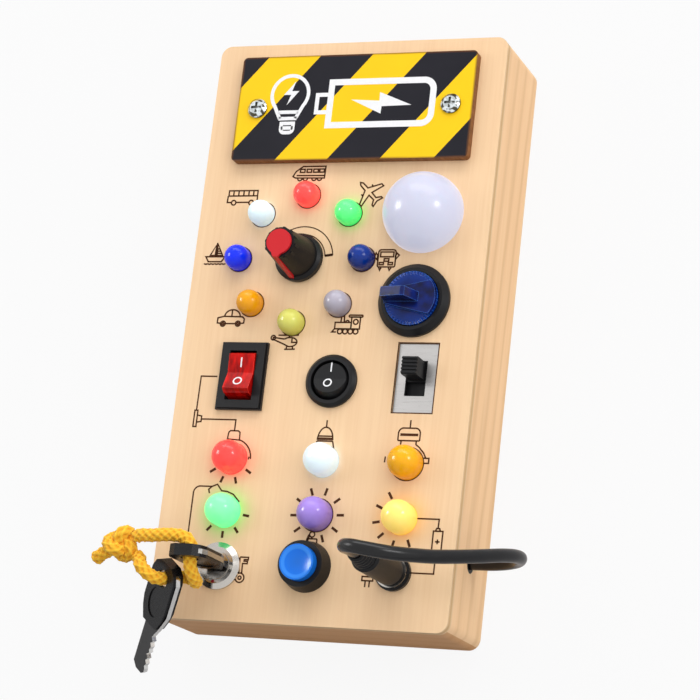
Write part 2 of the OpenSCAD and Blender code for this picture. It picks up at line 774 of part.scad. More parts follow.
module round_button() {
    color("black") on_face(round_at, rocker_pivot_z) rotate([-round_swing / 2, 0, 0]) {
        intersection() {
            sphere(r = round_ball_r);
            translate([-round_ball_r, 0, 0]) rotate([90, 0, 90])
                linear_extrude(height = 2 * round_ball_r)
                rocker_side(round_ball_r, round_peak, round_dip, -2.8);
        }
        rotate([0, 90, 0]) cylinder(r = 0.7, h = 2 * round_window_r + 0.6, center = true);
    }
}

module slide_plate() {
    color("silver") on_face(slide_at, slide_plate_z) difference() {
        block(slide_w, slide_l, slide_plate_t);
        translate([0, 0, -eps]) block(slide_slot[0], slide_slot[1], slide_plate_t + 2 * eps);
    }
}

module slide_body() {
    cavity = [slide_foot[0] + 2 * slide_fit, slide_foot[1] + slide_travel + 2 * slide_fit,
        slide_foot[2] + slide_fit];
    color("dimgray") on_face(slide_at, slide_plate_z) difference() {
        translate([0, 0, -slide_body_size[2]])
            block(slide_body_size[0], slide_body_size[1], slide_body_size[2]);
        translate([0, 0, -cavity[2]]) block(cavity[0], cavity[1], cavity[2] + eps);
    }
}

// Ribbed slider, at the upper end of its slot at rest
module slide_knob() {
    rib = slide_stem[1] / 5;
    color("black") on_face([slide_at[0], slide_at[1] + slide_travel / 2], slide_plate_z) {
        translate([0, 0, -slide_foot[2] - slide_fit / 2])
            block(slide_foot[0], slide_foot[1], slide_foot[2]);
        translate([0, 0, -slide_fit]) block(slide_stem[0], slide_stem[1], slide_stem[2]);
        for (k = [-2 : 2]) translate([0, k * rib, slide_stem[2] - slide_fit - eps])
            block(slide_stem[0], rib / 2, 0.6);
    }
}

module switch_terminals() {
    color("silver") {
        for (k = [-1 : 1]) on_face([rocker_at[0], rocker_at[1] + 6 * k],
            face_z - rocker_depth - 7) block(4.8, 0.8, 7);
        for (k = [-1, 1]) on_face([round_at[0], round_at[1] + 3.5 * k],
            face_z - rocker_depth - 7) block(4.8, 0.8, 7);
        for (k = [-1 : 1])
            on_face([slide_at[0], slide_at[1] + 4 * k], slide_plate_z - slide_body_size[2] - 4)
                block(1.6, 0.6, 4);
        for (x = [-1, 1], y = [-1, 1]) on_face(selector_at + [4 * x, 4 * y],
            face_z - selector_depth - 4.5) block(2.8, 0.5, 3);
    }
}

module panel_nuts() {
    color("silver") {
        for (n = nuts) translate(n[0]) difference() {
            cylinder(r = n[2], h = n[3], $fn = 6);
            translate([0, 0, -eps]) cylinder(r = n[1] + turn_fit, h = n[3] + 2 * eps);
        }
        on_face(jack_at, face_z + jack_flange) difference() {
            cylinder(r = jack_ring[0], h = jack_ring[1]);
            translate([0, 0, -eps])
                cylinder(r = jack_neck_r + turn_fit, h = jack_ring[1] + 2 * eps);
        }
    }
}

module lock_barrel() {
    color("lightgray") on_face(lock_at, face_z) difference() {
        union() {
            cylinder(r = lock_r, h = 0.8);
            translate([0, 0, 0.8]) cylinder(r1 = lock_r, r2 = lock_r - 1.6, h = lock_ring_h - 0.8);
            translate([0, 0, -lock_depth]) cylinder(r = lock_barrel_r, h = lock_depth + eps);
        }
        translate([0, 0, -lock_depth - eps])
            cylinder(r = cylinder_r + turn_fit, h = lock_depth + 10);
    }
}

module lock_cylinder() {
    h = lock_depth + lock_ring_h + 0.4;
    color("silver") on_face(lock_at, face_z - lock_depth) {
        difference() {
            translate([0, 0, -0.3]) cylinder(r = cylinder_r, h = h + 0.3);
            translate([0, 0, h - key_blade_l - 0.4]) block(keyway[0], keyway[1], h);
        }
        translate([-cam[0] / 2, -cylinder_r, -0.3 - cam[2]]) cube([cam[0], cam[1], cam[2] + eps]);
    }
}

// Teeth of a key's edge, from its tip to its shoulder
function key_teeth(n) = [
    for (k = [0 : n - 1])
        let (y = -key_blade_l + 3 + k * (key_blade_l - 6) / (n - 1), d = tooth * (1 + (k % 3) / 2))
        each [[key_blade_w / 2, y - 0.9], [key_blade_w / 2 - d, y]]
];

// Metal of a key, drawn flat: +Y is towards the head
module key_metal() {
    edge = key_w / 2;
    translate([0, 0, -key_blade_t / 2]) difference() {
        linear_extrude(height = key_blade_t) polygon(concat(
            [[-key_blade_w / 2, -key_blade_l + 1.5], [-key_blade_w / 2 + 2, -key_blade_l],
                [key_blade_w / 2 - 1, -key_blade_l], [key_blade_w / 2, -key_blade_l + 1]],
            key_teeth(6),
            [[key_blade_w / 2, -1], [key_blade_w / 2 + 0.6, 0], [edge, 6],
                [edge, key_head_l - 4.2], [edge - 0.9, key_head_l - 2.2],
                [edge - 2.5, key_head_l - key_side - core_fit],
                [-edge + 4.6, key_head_l - key_side - core_fit],
                [-edge + key_side + 0.8, key_head_l - 3.2],
                [-edge + key_side + core_fit, key_head_l - 5.1],
                [-edge + key_side + core_fit, 8], [-edge + key_side + 1.1, 4.9],
                [-key_blade_w / 2, 1.2]]
        ));
        translate([0, key_head_l - key_hole_drop, -eps])
            cylinder(r = key_hole_r, h = key_blade_t + 2 * eps);
    }
}

// Plastic head of a key, clipped over the metal from its left side
module key_plastic() {
    edge = key_w / 2;
    difference() {
        translate([0, 0, -key_head_t / 2]) linear_extrude(height = key_head_t)
            polygon([[-key_blade_w / 2 - 0.4, 0.6], [key_blade_w / 2 + 0.4, 0.6],
                [edge - 1.1, 4.2], [edge - 0.3, 7.2], [edge - 0.3, key_head_l - 3.8],
                [edge - 1.2, key_head_l - 1.4], [edge - 3.2, key_head_l],
                [-edge + 3.2, key_head_l], [-edge + 1, key_head_l - 1.5],
                [-edge, key_head_l - 4], [-edge, 7.4], [-edge + 0.8, 4.3]]);
        translate([0, 0, -key_blade_t / 2 - core_fit])
            linear_extrude(height = key_blade_t + 2 * core_fit)
            polygon([[-key_blade_w / 2 - 1, -2], [key_blade_w, -2], [key_w, 0],
                [key_w, key_head_l - key_side], [-edge + 4.4, key_head_l - key_side],
                [-edge + key_side + 0.6, key_head_l - 3], [-edge + key_side, key_head_l - 5],
                [-edge + key_side, 7.8], [-edge + key_side + 0.9, 4.6],
                [-key_blade_w / 2 - 1, 0.8]]);
        translate([0, key_head_l - key_hole_drop, -key_head_t])
            cylinder(r = key_hole_r, h = 2 * key_head_t);
        for (z = [-1, 1]) translate([0, key_dish[2], z * key_head_t / 2])
            scale([key_dish[0], key_dish[1], 1])
            cylinder(r = 1, h = 2 * key_dish[3], center = true);
    }
}

// The key in the lock stands straight out of it, flat side to -Y
module in_lock() {
    on_face(lock_at, key_base_z) rotate([90, 0, 0]) children();
}

// The spare key hangs from the rope, off the board's lower left corner
module on_rope() {
    on_face(lock_at, key_base_z)
        translate(spare_top) rotate(spare_turn) rotate([0, spare_twist, 0])
            translate([0, -key_head_l, 0]) children();
}

module key_blade() { color("silver") in_lock() key_metal(); }
module key_head() { color("black") in_lock() key_plastic(); }
module spare_key_blade() { color("silver") on_rope() key_metal(); }
module spare_key_head() { color("black") on_rope() key_plastic(); }

module key_rope() {
    color("gold") on_face(lock_at, key_base_z) {
        tube_along(rope_route, rope_d / 2, 8);
        translate(knot_at) sphere(r = knot_r, $fn = 40);
        tube_along(rope_tail, rope_d / 2, 8);
    }
}

module button_body() {
    color("black") on_face(button_at, face_z) difference() {
        union() {
            cylinder(r1 = button_r, r2 = button_r - button_taper, h = button_top);
            translate([0, 0, -button_depth]) cylinder(r = button_neck_r, h = button_depth + eps);
        }
        translate([0, 0, 0.6]) cylinder(r = cap_r + 0.1, h = button_top);
        translate([0, 0, spring_z - face_z]) cylinder(r = spring_r + 0.4, h = 10);
        translate([0, 0, -button_depth + 2]) cylinder(r = cap_stem_r + turn_fit, h = 20);
    }
}

module button_cap() {
    color("dodgerblue") on_face(button_at, face_z + cap_rise - cap_h) difference() {
        union() {
            cylinder(r = cap_r, h = cap_h);
            translate([0, 0, spring_z - face_z - cap_rise + cap_h - 3])
                cylinder(r = cap_stem_r, h = 3 + face_z - spring_z + cap_rise - cap_h + eps);
        }
        translate([0, 0, cap_h - dish_depth + dish_r]) sphere(r = dish_r, $fn = 96);
    }
}

module button_spring() {
    color("silver") on_face(button_at, spring_z) difference() {
        cylinder(r = spring_r, h = face_z + cap_rise - cap_h - spring_z);
        translate([0, 0, -eps]) cylinder(r = cap_stem_r + 0.3, h = 20);
    }
}

module jack_socket() {
    color("black") on_face(jack_at, face_z) difference() {
        union() {
            cylinder(r = jack_r, h = jack_flange);
            translate([0, 0, -jack_depth])
                cylinder(r = jack_neck_r, h = jack_depth + jack_flange + jack_ring[1]);
        }
        translate([0, 0, -jack_depth + 4]) difference() {
            cylinder(r = jack_bore_r, h = 40);
            cylinder(r = 0.9, h = jack_depth - 4);
        }
    }
}

module plug_tip() {
    z = face_z + jack_flange + jack_ring[1] + 0.3;
    color("silver") on_face(jack_at, z - plug_tip_l) difference() {
        cylinder(r = plug_tip_r, h = plug_tip_l);
        translate([0, 0, -eps]) cylinder(r = 1.1, h = plug_tip_l - 1);
    }
}

module plug_grip() {
    z = jack_flange + jack_ring[1] + 0.3;
    top = plug_top - face_z;
    color("black") on_face(jack_at, face_z) {
        translate([0, 0, z]) cylinder(r1 = plug_r - 0.4, r2 = plug_r, h = 0.8);
        translate([0, 0, z + 0.8]) cylinder(r = plug_r, h = top - z - 1.6);
        translate([0, 0, top - 0.8]) cylinder(r1 = plug_r, r2 = plug_r - 0.7, h = 0.8);
        translate([0, 0, top])
            cylinder(r1 = plug_r - 0.9, r2 = lead_d / 2 + 0.4, h = relief_l);
    }
}

module plug_lead() { color("black") tube_along(lead_route, lead_d / 2, 10); }
module lead_inner() { color("black") tube_along(inner_route, lead_d / 2, 10); }

module lead_grommet() {
    r = lead_d / 2 + 1.05;
    color("black") translate(lead_hole) rotate([0, -90, 0]) difference() {
        union() {
            cylinder(r = r, h = wall_t);
            translate([0, 0, wall_t]) cylinder(r = r + 1, h = 1);
        }
        translate([0, 0, -eps]) cylinder(r = lead_d / 2 + turn_fit, h = wall_t + 2);
    }
}

front_panel();
body_frame();
back_panel();
back_screws();
sign_plate();
sign_screws();
screw_blocks();
battery_holder();
batteries();
battery_springs();
dial_body();
dial_shaft();
dial_knob();
dial_cap();
lamp_ring_white();
lamp_ring_red();
lamp_ring_green();
lamp_ring_blue();
lamp_ring_navy();
lamp_ring_orange();
lamp_ring_lime();
lamp_ring_grey();
lamp_red();
lamp_green();
lamp_white();
lamp_violet();
lamp_orange();
lamp_yellow();
ring_board();
lamp_board();
board_standoffs();
dome_lens();
dome_board();
selector_body();
selector_knob();
rocker_frame();
rocker_button();
round_frame();
round_button();
slide_body();
slide_plate();
slide_knob();
switch_terminals();
panel_nuts();
lock_barrel();
lock_cylinder();
key_blade();
key_head();
spare_key_blade();
spare_key_head();
key_rope();
button_body();
button_cap();
button_spring();
jack_socket();
plug_grip();
plug_tip();
plug_lead();
lead_grommet();
lead_inner();
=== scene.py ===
import math

import bpy
import numpy as np
from mathutils import Matrix, Vector
from mathutils.geometry import tessellate_polygon


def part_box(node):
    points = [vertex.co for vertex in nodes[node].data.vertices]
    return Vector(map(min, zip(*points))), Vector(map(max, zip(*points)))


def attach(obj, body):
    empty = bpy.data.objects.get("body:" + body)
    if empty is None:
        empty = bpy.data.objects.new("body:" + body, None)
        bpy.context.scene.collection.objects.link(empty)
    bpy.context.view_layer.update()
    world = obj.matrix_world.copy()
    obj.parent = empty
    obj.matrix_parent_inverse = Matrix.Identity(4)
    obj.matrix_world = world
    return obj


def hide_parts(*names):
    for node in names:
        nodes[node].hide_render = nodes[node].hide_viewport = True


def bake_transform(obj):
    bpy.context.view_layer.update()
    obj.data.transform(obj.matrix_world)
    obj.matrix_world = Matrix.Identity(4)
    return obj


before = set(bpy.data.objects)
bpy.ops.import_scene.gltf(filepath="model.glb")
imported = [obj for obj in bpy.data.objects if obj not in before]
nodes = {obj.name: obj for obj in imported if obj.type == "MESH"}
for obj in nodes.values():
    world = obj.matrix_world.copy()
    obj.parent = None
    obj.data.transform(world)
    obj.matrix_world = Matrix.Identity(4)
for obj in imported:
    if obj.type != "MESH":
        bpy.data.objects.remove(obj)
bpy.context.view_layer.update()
mm = 0.001
print("frame loaded:", len(nodes), "nodes")


def middle(node):
    lo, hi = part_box(node)
    return (lo + hi) / 2


# Places that the looks are measured from, in mm on the face
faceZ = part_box("front_panel")[1].z / mm
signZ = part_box("sign_plate")[1].z / mm
ringAt = middle("ring_board").xy / mm
lockAt = middle("lock_barrel").xy / mm
jackAt = middle("jack_socket").xy / mm
buttonAt = middle("button_body").xy / mm
selectorAt = middle("selector_body").xy / mm


# ---- camera: the photograph's viewing angle, in metres, degrees and millimetres of lens
scene = bpy.context.scene
camera = dict(place=(0.29004, -0.19436, 0.70197), turn=(16.9594, 20.97, 6.961), lens=129.873)
cam = bpy.data.objects.new("camera", bpy.data.cameras.new("camera"))
cam.data.lens = camera["lens"]
cam.data.sensor_width = 36
cam.data.clip_start = 0.01
cam.location = camera["place"]
cam.rotation_euler = [math.radians(a) for a in camera["turn"]]
scene.collection.objects.link(cam)
scene.camera = cam


# ---- meshes from arrays
# Piece of vertices in metres and faces, which rides a body where one is named
def meshPiece(name, verts, faces, body=None, material=None, smooth=True):
    mesh = bpy.data.meshes.new(name)
    quads = faces if isinstance(faces, list) else faces.tolist()
    mesh.from_pydata(np.asarray(verts, float).reshape(-1, 3).tolist(), [], quads)
    mesh.polygons.foreach_set("use_smooth", np.full(len(mesh.polygons), smooth))
    mesh.update()
    piece = bpy.data.objects.new(name, mesh)
    scene.collection.objects.link(piece)
    if material:
        mesh.materials.append(material)
    if body:
        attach(piece, body)
    return piece


# Quads of a grid of rows x cols points, the second way round closed into a ring
def ringFaces(rows, cols, closeRows=False):
    row = np.arange(rows if closeRows else rows - 1)[:, None] * cols
    col = np.arange(cols)[None, :]
    nextRow, nextCol = (row + cols) % (rows * cols), (col + 1) % cols
    return np.stack([row + col, row + nextCol, nextRow + nextCol, nextRow + col], -1).reshape(-1, 4)


# Length run along a path, at each of its points
def runAlong(path):
    return np.concatenate([[0], np.cumsum(np.linalg.norm(np.diff(path, axis=0), axis=1))])


# Catmull-Rom curve through the points, resampled at even steps
def smoothRoute(points, step):
    p = np.asarray(points, float)
    q = np.vstack([2 * p[:1] - p[1:2], p, 2 * p[-1:] - p[-2:-1]])
    t = np.linspace(0, 1, 24, endpoint=False)[None, :, None]
    a, b, c, d = (q[i : len(q) - 3 + i][:, None] for i in range(4))
    curve = 0.5 * (2 * b + (c - a) * t + (2 * a - 5 * b + 4 * c - d) * t**2 + (3 * b - a - 3 * c + d) * t**3)
    curve = np.vstack([curve.reshape(-1, 3), q[-2:-1]])
    run = runAlong(curve)
    s = np.linspace(0, run[-1], max(8, int(run[-1] / step)) + 1)
    return np.stack([np.interp(s, run, curve[:, k]) for k in range(3)], 1), s


# Path with its tight bends rounded: each point is the mean of itself and its neighbours both ways
def rounded(path, reach):
    wide = np.pad(path, ((reach, reach), (0, 0)), mode="reflect", reflect_type="odd")
    return np.lib.stride_tricks.sliding_window_view(wide, 2 * reach + 1, axis=0).mean(-1)


# Normals carried along a path, each the last one less its forward part, and the ways square to both
def pathFrames(path):
    tangent = np.gradient(path, axis=0)
    tangent /= np.linalg.norm(tangent, axis=1)[:, None]
    normal = np.empty_like(path)
    last = np.array([0, 1, 0.01])
    for i, t in enumerate(tangent):
        last = last - t * last.dot(t)
        last = last / np.linalg.norm(last)
        normal[i] = last
    return normal, np.cross(tangent, normal)


# Tube: path + r(s, angle) * (cos * normal + sin * sideways), its ends closed on their middles
def tubePiece(name, path, radius, sides, relief=None):
    normal, side = pathFrames(path)
    angle = np.linspace(0, 2 * math.pi, sides, endpoint=False)
    spoke = np.cos(angle)[None, :, None] * normal[:, None] + np.sin(angle)[None, :, None] * side[:, None]
    r = np.broadcast_to(radius, (len(path), sides))[..., None]
    verts = (path[:, None] + r * spoke).reshape(-1, 3)
    n = len(verts)
    k = np.arange(sides)
    after = (k + 1) % sides
    startCap = np.stack([np.full(sides, n), after, k], 1).tolist()
    endCap = np.stack([np.full(sides, n + 1), n - sides + k, n - sides + after], 1).tolist()
    faces = ringFaces(len(path), sides).tolist() + startCap + endCap
    piece = meshPiece(name, np.vstack([verts, path[:1], path[-1:]]), faces)
    if relief is not None:
        # The two cap middles count as halfway up
        raised = np.concatenate([np.asarray(relief).reshape(-1), [0.5, 0.5]]).astype(np.float32)
        piece.data.attributes.new("plait", "FLOAT", "POINT").data.foreach_set("value", raised)
    return piece


# ---- cords first: the lead and the rope lie where their solids do
# Lead: Y is measured from the jack
lead = dict(
    thick=4, straight=4.5, step=0.8, sides=24,
    route=[
        [29.8, -0.3, 69.8], [31.2, -0.7, 73.2], [34, -1.1, 75.2], [37.4, -1.6, 75.4],
        [41.2, -1.9, 74], [45.2, -1.9, 71.1], [49, -1.4, 67], [52.4, -0.6, 62],
        [55.6, 0.5, 57], [58.8, 1.8, 51.5], [61.9, 3.3, 45.5], [64.6, 4.9, 39],
        [66.2, 6.1, 32.5], [66, 6.7, 26.5], [63.6, 6.8, 21.3], [59.5, 6.7, 17.9],
        [55, 6.6, 16.2], [51, 6.6, 15.7], [47.5, 6.6, 15.7],
    ],
)
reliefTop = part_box("plug_grip")[1].z / mm
leadRoute = [[jackAt.x, jackAt.y, reliefTop + rise] for rise in (0, lead["straight"])]
leadRoute += [[x, y + jackAt.y, z] for x, y, z in lead["route"]]
leadPath, leadRun = smoothRoute(leadRoute, lead["step"])
leadPiece = tubePiece("plugLead", leadPath * mm, lead["thick"] / 2 * mm, lead["sides"])
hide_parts("plug_lead")
print("lead length, mm:", round(float(leadRun[-1]), 1))

# Rope: points measured from the root of the key in the lock
rope = dict(
    thick=4, sides=50, plaits=5, pitch=2.4, depth=0.36, rootBelow=0.6,
    knotAt=[-23.3, 2, 14.8], knotGap=5.85, straight=1.7, step=0.22, rounding=8,
    route=[
        [-13.3, 4.3, 17.4], [-9.5, 4.6, 17.8], [-5.7, 4.8, 17.6], [-2.5, 4.5, 17],
        [-0.6, 3.3, 16.5], [0, 1.5, 16.3], [0, -1.7, 16.3], [0.1, -3.8, 15.7],
        [0.2, -5.5, 14], [0.1, -6.9, 11.4], [-0.7, -7.3, 8.8], [-2.2, -6.2, 6],
        [-4.6, -5.4, 4.7], [-6.8, -5.4, 5.9], [-8.1, -6.1, 8.2], [-9.3, -6.75, 10.4],
        [-10.5, -7.4, 12.7], [-12, -7.3, 14.9], [-14, -5.9, 16.2], [-16.2, -3.8, 15.9],
    ],
    out=[4.6, 1.7, 1.4], back=[4.2, -2.6, -0.4],
    tail=[-4, -1.9, -0.8], tailFrom=3.45, tailStraight=7.85, tailEnd=[-31.9, -2.1, 12.4],
    frayed=1.5, fray=0.12,
)
keyRoot = np.array([lockAt.x, lockAt.y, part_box("key_head")[0].z / mm - rope["rootBelow"]])
knotAt = np.array(rope["knotAt"]) + keyRoot


# Point so many mm from the knot's middle
def fromKnot(direction, far):
    d = np.array(direction, float)
    return knotAt + far * d / np.linalg.norm(d)


ends = rope["knotGap"], rope["knotGap"] + rope["straight"]
ropeRoute = [fromKnot(rope["out"], far) for far in ends]
ropeRoute += [np.array(p) + keyRoot for p in rope["route"]]
ropeRoute += [fromKnot(rope["back"], far) for far in ends[::-1]]
tailRoute = [fromKnot(rope["tail"], far) for far in (rope["tailFrom"], rope["tailStraight"])]
tailRoute.append(np.array(rope["tailEnd"]) + keyRoot)


# Braid: r = R + depth * (2 * raised - 1.6), raised being the higher of two crossing rows of plaits,
# each of them 0.3 higher where it passes over and 0.3 lower where it passes under
def braidRadius(run, radius):
    angle = np.linspace(0, 1, rope["sides"], endpoint=False)[None, :]
    along = run[:, None] / rope["pitch"]
    a, b = rope["plaits"] * angle + along, rope["plaits"] * angle - along
    over = np.cos(math.pi * (a + b)) * np.cos(math.pi * (a - b))
    rowA = np.abs(np.cos(math.pi * a)) * (0.7 + 0.3 * over)
    rowB = np.abs(np.cos(math.pi * b)) * (0.7 - 0.3 * over)
    raised = np.maximum(rowA, rowB)
    return (radius + rope["depth"] * (2 * raised - 1.6)) * mm, raised


ropePath = rounded(smoothRoute(ropeRoute, rope["step"])[0], rope["rounding"])
ropeRun = runAlong(ropePath)
tailPath, tailRun = smoothRoute(tailRoute, rope["step"])
r0 = rope["thick"] / 2
radius, raised = braidRadius(ropeRun, r0)
ropePiece = tubePiece("keyRope", ropePath * mm, radius, rope["sides"], raised)
toEnd = np.clip((tailRun - tailRun[-1]) / rope["frayed"] + 1, 0, 1)
radius, raised = braidRadius(tailRun, r0 * (1 + rope["fray"] * toEnd**2)[:, None])
tailPiece = tubePiece("ropeTail", tailPath * mm, radius, rope["sides"], raised)

# Knot: a trefoil, (sin t + 2 sin 2t, cos t - 2 cos 2t, -sin 3t), with the rope's braid on it
knot = dict(size=1.27, height=1.45, thick=2.05, turn=(25, 20, 40), steps=260)
t = np.linspace(0, 2 * math.pi, knot["steps"])
trefoil = np.stack([np.sin(t) + 2 * np.sin(2 * t), np.cos(t) - 2 * np.cos(2 * t), -np.sin(3 * t)], 1)
trefoil *= (1, 1, knot["height"])
turn = np.eye(3)
for angle, axis in zip(knot["turn"], "XYZ"):
    turn = np.array(Matrix.Rotation(math.radians(angle), 3, axis)) @ turn
trefoil = knot["size"] * trefoil @ turn.T + knotAt
knotRun = runAlong(trefoil)
radius, raised = braidRadius(knotRun, knot["thick"])
knotPiece = tubePiece("ropeKnot", trefoil * mm, radius, rope["sides"], raised)
for piece in (ropePiece, tailPiece, knotPiece):
    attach(piece, "keys")
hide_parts("key_rope")
print("rope length, mm:", round(float(ropeRun[-1]), 1))


# ---- node helpers: a colour is given as its red, green and blue
def setSocket(socket, value):
    socket.default_value = (*value, 1.0) if socket.type == "RGBA" else value


def put(tree, kind, inputs=None, **settings):
    n = tree.nodes.new("ShaderNode" + kind)
    for key, value in settings.items():
        setattr(n, key, value)
    for key, value in (inputs or {}).items():
        if isinstance(value, bpy.types.NodeSocket):
            tree.links.new(value, n.inputs[key])
        else:
            setSocket(n.inputs[key], value)
    return n


def maths(tree, operation, a, b=0.0, clamp=False):
    return put(tree, "Math", {0: a, 1: b}, operation=operation, use_clamp=clamp).outputs[0]


def times(tree, a, b, clamp=False):
    return maths(tree, "MULTIPLY", a, b, clamp)


def minus(tree, a, b, clamp=False):
    return maths(tree, "SUBTRACT", a, b, clamp)


# Value that goes from low to high as the one it reads goes from start to end
def ramp(tree, value, start, end, low=0.0, high=1.0):
    return put(tree, "MapRange", {0: value, 1: start, 2: end, 3: low, 4: high}).outputs[0]


def vectors(tree, operation, a, b, out=0):
    return put(tree, "VectorMath", {0: a, 1: b}, operation=operation).outputs[out]


# X, Y and Z of a vector
def partsOf(tree, vector):
    return put(tree, "SeparateXYZ", {0: vector}).outputs


def normalOf(tree):
    return put(tree, "NewGeometry").outputs["Normal"]


# 1 where a face looks along an axis, up it or down it, at least as much as given
def facesAlong(tree, axis, least):
    return maths(tree, "GREATER_THAN", maths(tree, "ABSOLUTE", partsOf(tree, normalOf(tree))[axis]), least)


# Distance over the face from a place given in mm, in metres
def awayFrom(tree, vector, place):
    flat = vectors(tree, "MULTIPLY", vector, (1, 1, 0))
    return vectors(tree, "DISTANCE", flat, (place.x * mm, place.y * mm, 0), "Value")


def mix(tree, factor, a, b):
    return put(tree, "Mix", {0: factor, 6: a, 7: b}, data_type="RGBA").outputs[2]


# New group and its two ends: f, c and v are a float, a colour and a vector
def group(name, inputs, outputs):
    tree = bpy.data.node_groups.new(name, "ShaderNodeTree")
    kinds = dict(f="NodeSocketFloat", c="NodeSocketColor", v="NodeSocketVector")
    for side, sockets in (("INPUT", inputs), ("OUTPUT", outputs)):
        for label, kind in sockets:
            tree.interface.new_socket(name=label, in_out=side, socket_type=kinds[kind])
    return tree, tree.nodes.new("NodeGroupInput").outputs, tree.nodes.new("NodeGroupOutput").inputs


def use(tree, shared, inputs):
    return put(tree, "Group", inputs, node_tree=bpy.data.node_groups[shared]).outputs


def stretched(tree, vector, scale):
    return put(tree, "Mapping", {"Vector": vector, "Scale": scale}).outputs[0]


def noise(tree, vector, scale=1.0, detail=3.0, rough=0.55):
    values = {"Vector": vector, "Scale": scale, "Detail": detail, "Roughness": rough}
    return put(tree, "TexNoise", values).outputs["Fac"]


# Wood grain along Y: fibres, broad bands and pores, light to dark
tree, gIn, gOut = group(
    "woodGrain", [("Vector", "v"), ("Light", "c"), ("Dark", "c")], [("Colour", "c"), ("Height", "f")]
)
fibres = noise(tree, stretched(tree, gIn["Vector"], (900, 22, 900)), 1, 4, 0.62)
bands = noise(tree, stretched(tree, gIn["Vector"], (95, 3.5, 95)), 1, 2)
pores = noise(tree, stretched(tree, gIn["Vector"], (3600, 120, 3600)), 1, 2)
blended = maths(tree, "ADD", times(tree, fibres, 0.5), times(tree, bands, 0.5))
contrast = ramp(tree, blended, 0.36, 0.64)
flecks = ramp(tree, pores, 0.62, 0.74)
shade = maths(tree, "ADD", times(tree, contrast, 0.6), times(tree, flecks, 0.12), True)
tree.links.new(mix(tree, shade, gIn["Light"], gIn["Dark"]), gOut["Colour"])
tree.links.new(minus(tree, times(tree, fibres, 0.5), times(tree, flecks, 0.4)), gOut["Height"])


# Colour and height of the grain, between a light and a dark wood
def grainOf(tree, vector, light, dark):
    return use(tree, "woodGrain", {"Vector": vector, "Light": light, "Dark": dark})


# Growth rings seen from the side: wavy lines along Y, stacked in Z
tree, gIn, gOut = group("growthLines", [("Vector", "v"), ("Spacing", "f"), ("Wave", "f")], [("Mask", "f")])
values = {
    "Vector": stretched(tree, gIn["Vector"], (1, 0.05, 1)), "Scale": gIn["Spacing"],
    "Distortion": gIn["Wave"], "Detail": 3.0, "Detail Scale": 2.0,
}
wavy = put(tree, "TexWave", values, bands_direction="DIAGONAL").outputs["Fac"]
tree.links.new(maths(tree, "POWER", wavy, 3.0), gOut["Mask"])

# Pale edges: how far the rounded normal of an edge leans from the face's own; on the clear plastics and the
# button cap the pale edge is a painted highlight
tree, gIn, gOut = group("edgeWear", [("Radius", "f"), ("Strength", "f")], [("Mask", "f")])
bevelled = put(tree, "Bevel", {"Radius": gIn["Radius"]}, samples=4).outputs[0]
lean = vectors(tree, "DOT_PRODUCT", bevelled, normalOf(tree), "Value")
tree.links.new(times(tree, minus(tree, 1.0, lean), gIn["Strength"], True), gOut["Mask"])


# How much of the pale edge colour an edge shows, its radius in mm
def paleEdgeShare(tree, radius, strength, share):
    return times(tree, use(tree, "edgeWear", {"Radius": radius * mm, "Strength": strength})["Mask"], share)


# Moulded plastic: a fine sparked grain, and slow waves of sink
tree, gIn, gOut = group("mouldGrain", [("Vector", "v"), ("Scale", "f")], [("Height", "f"), ("Sink", "f")])
tree.links.new(noise(tree, gIn["Vector"], gIn["Scale"], 2.0), gOut["Height"])
tree.links.new(noise(tree, gIn["Vector"], 160.0, 1.0), gOut["Sink"])

# Halo: 1 at a lamp's edge, fading to 0 over its reach, measured on the face
tree, gIn, gOut = group(
    "lampHalo", [("Vector", "v"), ("Centre", "v"), ("Radius", "f"), ("Reach", "f")], [("Mask", "f")]
)
flat = vectors(tree, "MULTIPLY", gIn["Vector"], (1, 1, 0))
far = vectors(tree, "DISTANCE", flat, gIn["Centre"], "Value")
past = maths(tree, "DIVIDE", minus(tree, far, gIn["Radius"]), gIn["Reach"])
fade = minus(tree, 1.0, past, True)
tree.links.new(maths(tree, "POWER", fade, 2.2), gOut["Mask"])
print("shader groups built")


# ---- materials
# Material, its tree, its shader and the object coordinates in it; sockets are named with _ for spaces
def newMaterial(name, specular=0.5, **sockets):
    material = bpy.data.materials.new(name)
    material.use_nodes = True
    tree = material.node_tree
    shader = tree.nodes["Principled BSDF"]
    shader.inputs["Specular IOR Level"].default_value = specular
    for key, value in sockets.items():
        setSocket(shader.inputs[key.replace("_", " ")], value)
    return material, tree, shader, put(tree, "TexCoord").outputs["Object"]


def paint(tree, shader, colour, socket="Base Color"):
    tree.links.new(colour, shader.inputs[socket])


# Height, of so many mm, in the shader's normal
def bump(tree, shader, height, distance, strength=0.5):
    n = put(tree, "Bump", {"Height": height, "Distance": distance * mm, "Strength": strength})
    tree.links.new(n.outputs[0], shader.inputs["Normal"])


# A lamp hides a flange behind the panel, wider than its hole, in mm
lampFlange = 0.6
# Each lit lamp's glow, painted into the wood's colour: colour, reach in mm and strength
halos = {
    "lamp_ring_white": ((0.93, 0.90, 0.80), 2.0, 0.35),
    "lamp_ring_red": ((1.0, 0.30, 0.20), 4.0, 0.55),
    "lamp_ring_green": ((0.45, 0.85, 0.20), 4.5, 0.50),
    "lamp_red": ((1.0, 0.32, 0.22), 6.0, 0.55),
    "lamp_green": ((0.42, 0.80, 0.18), 7.0, 0.60),
    "lamp_white": ((0.95, 0.93, 0.85), 2.5, 0.35),
    "lamp_yellow": ((1.0, 0.52, 0.16), 7.5, 0.60),
}
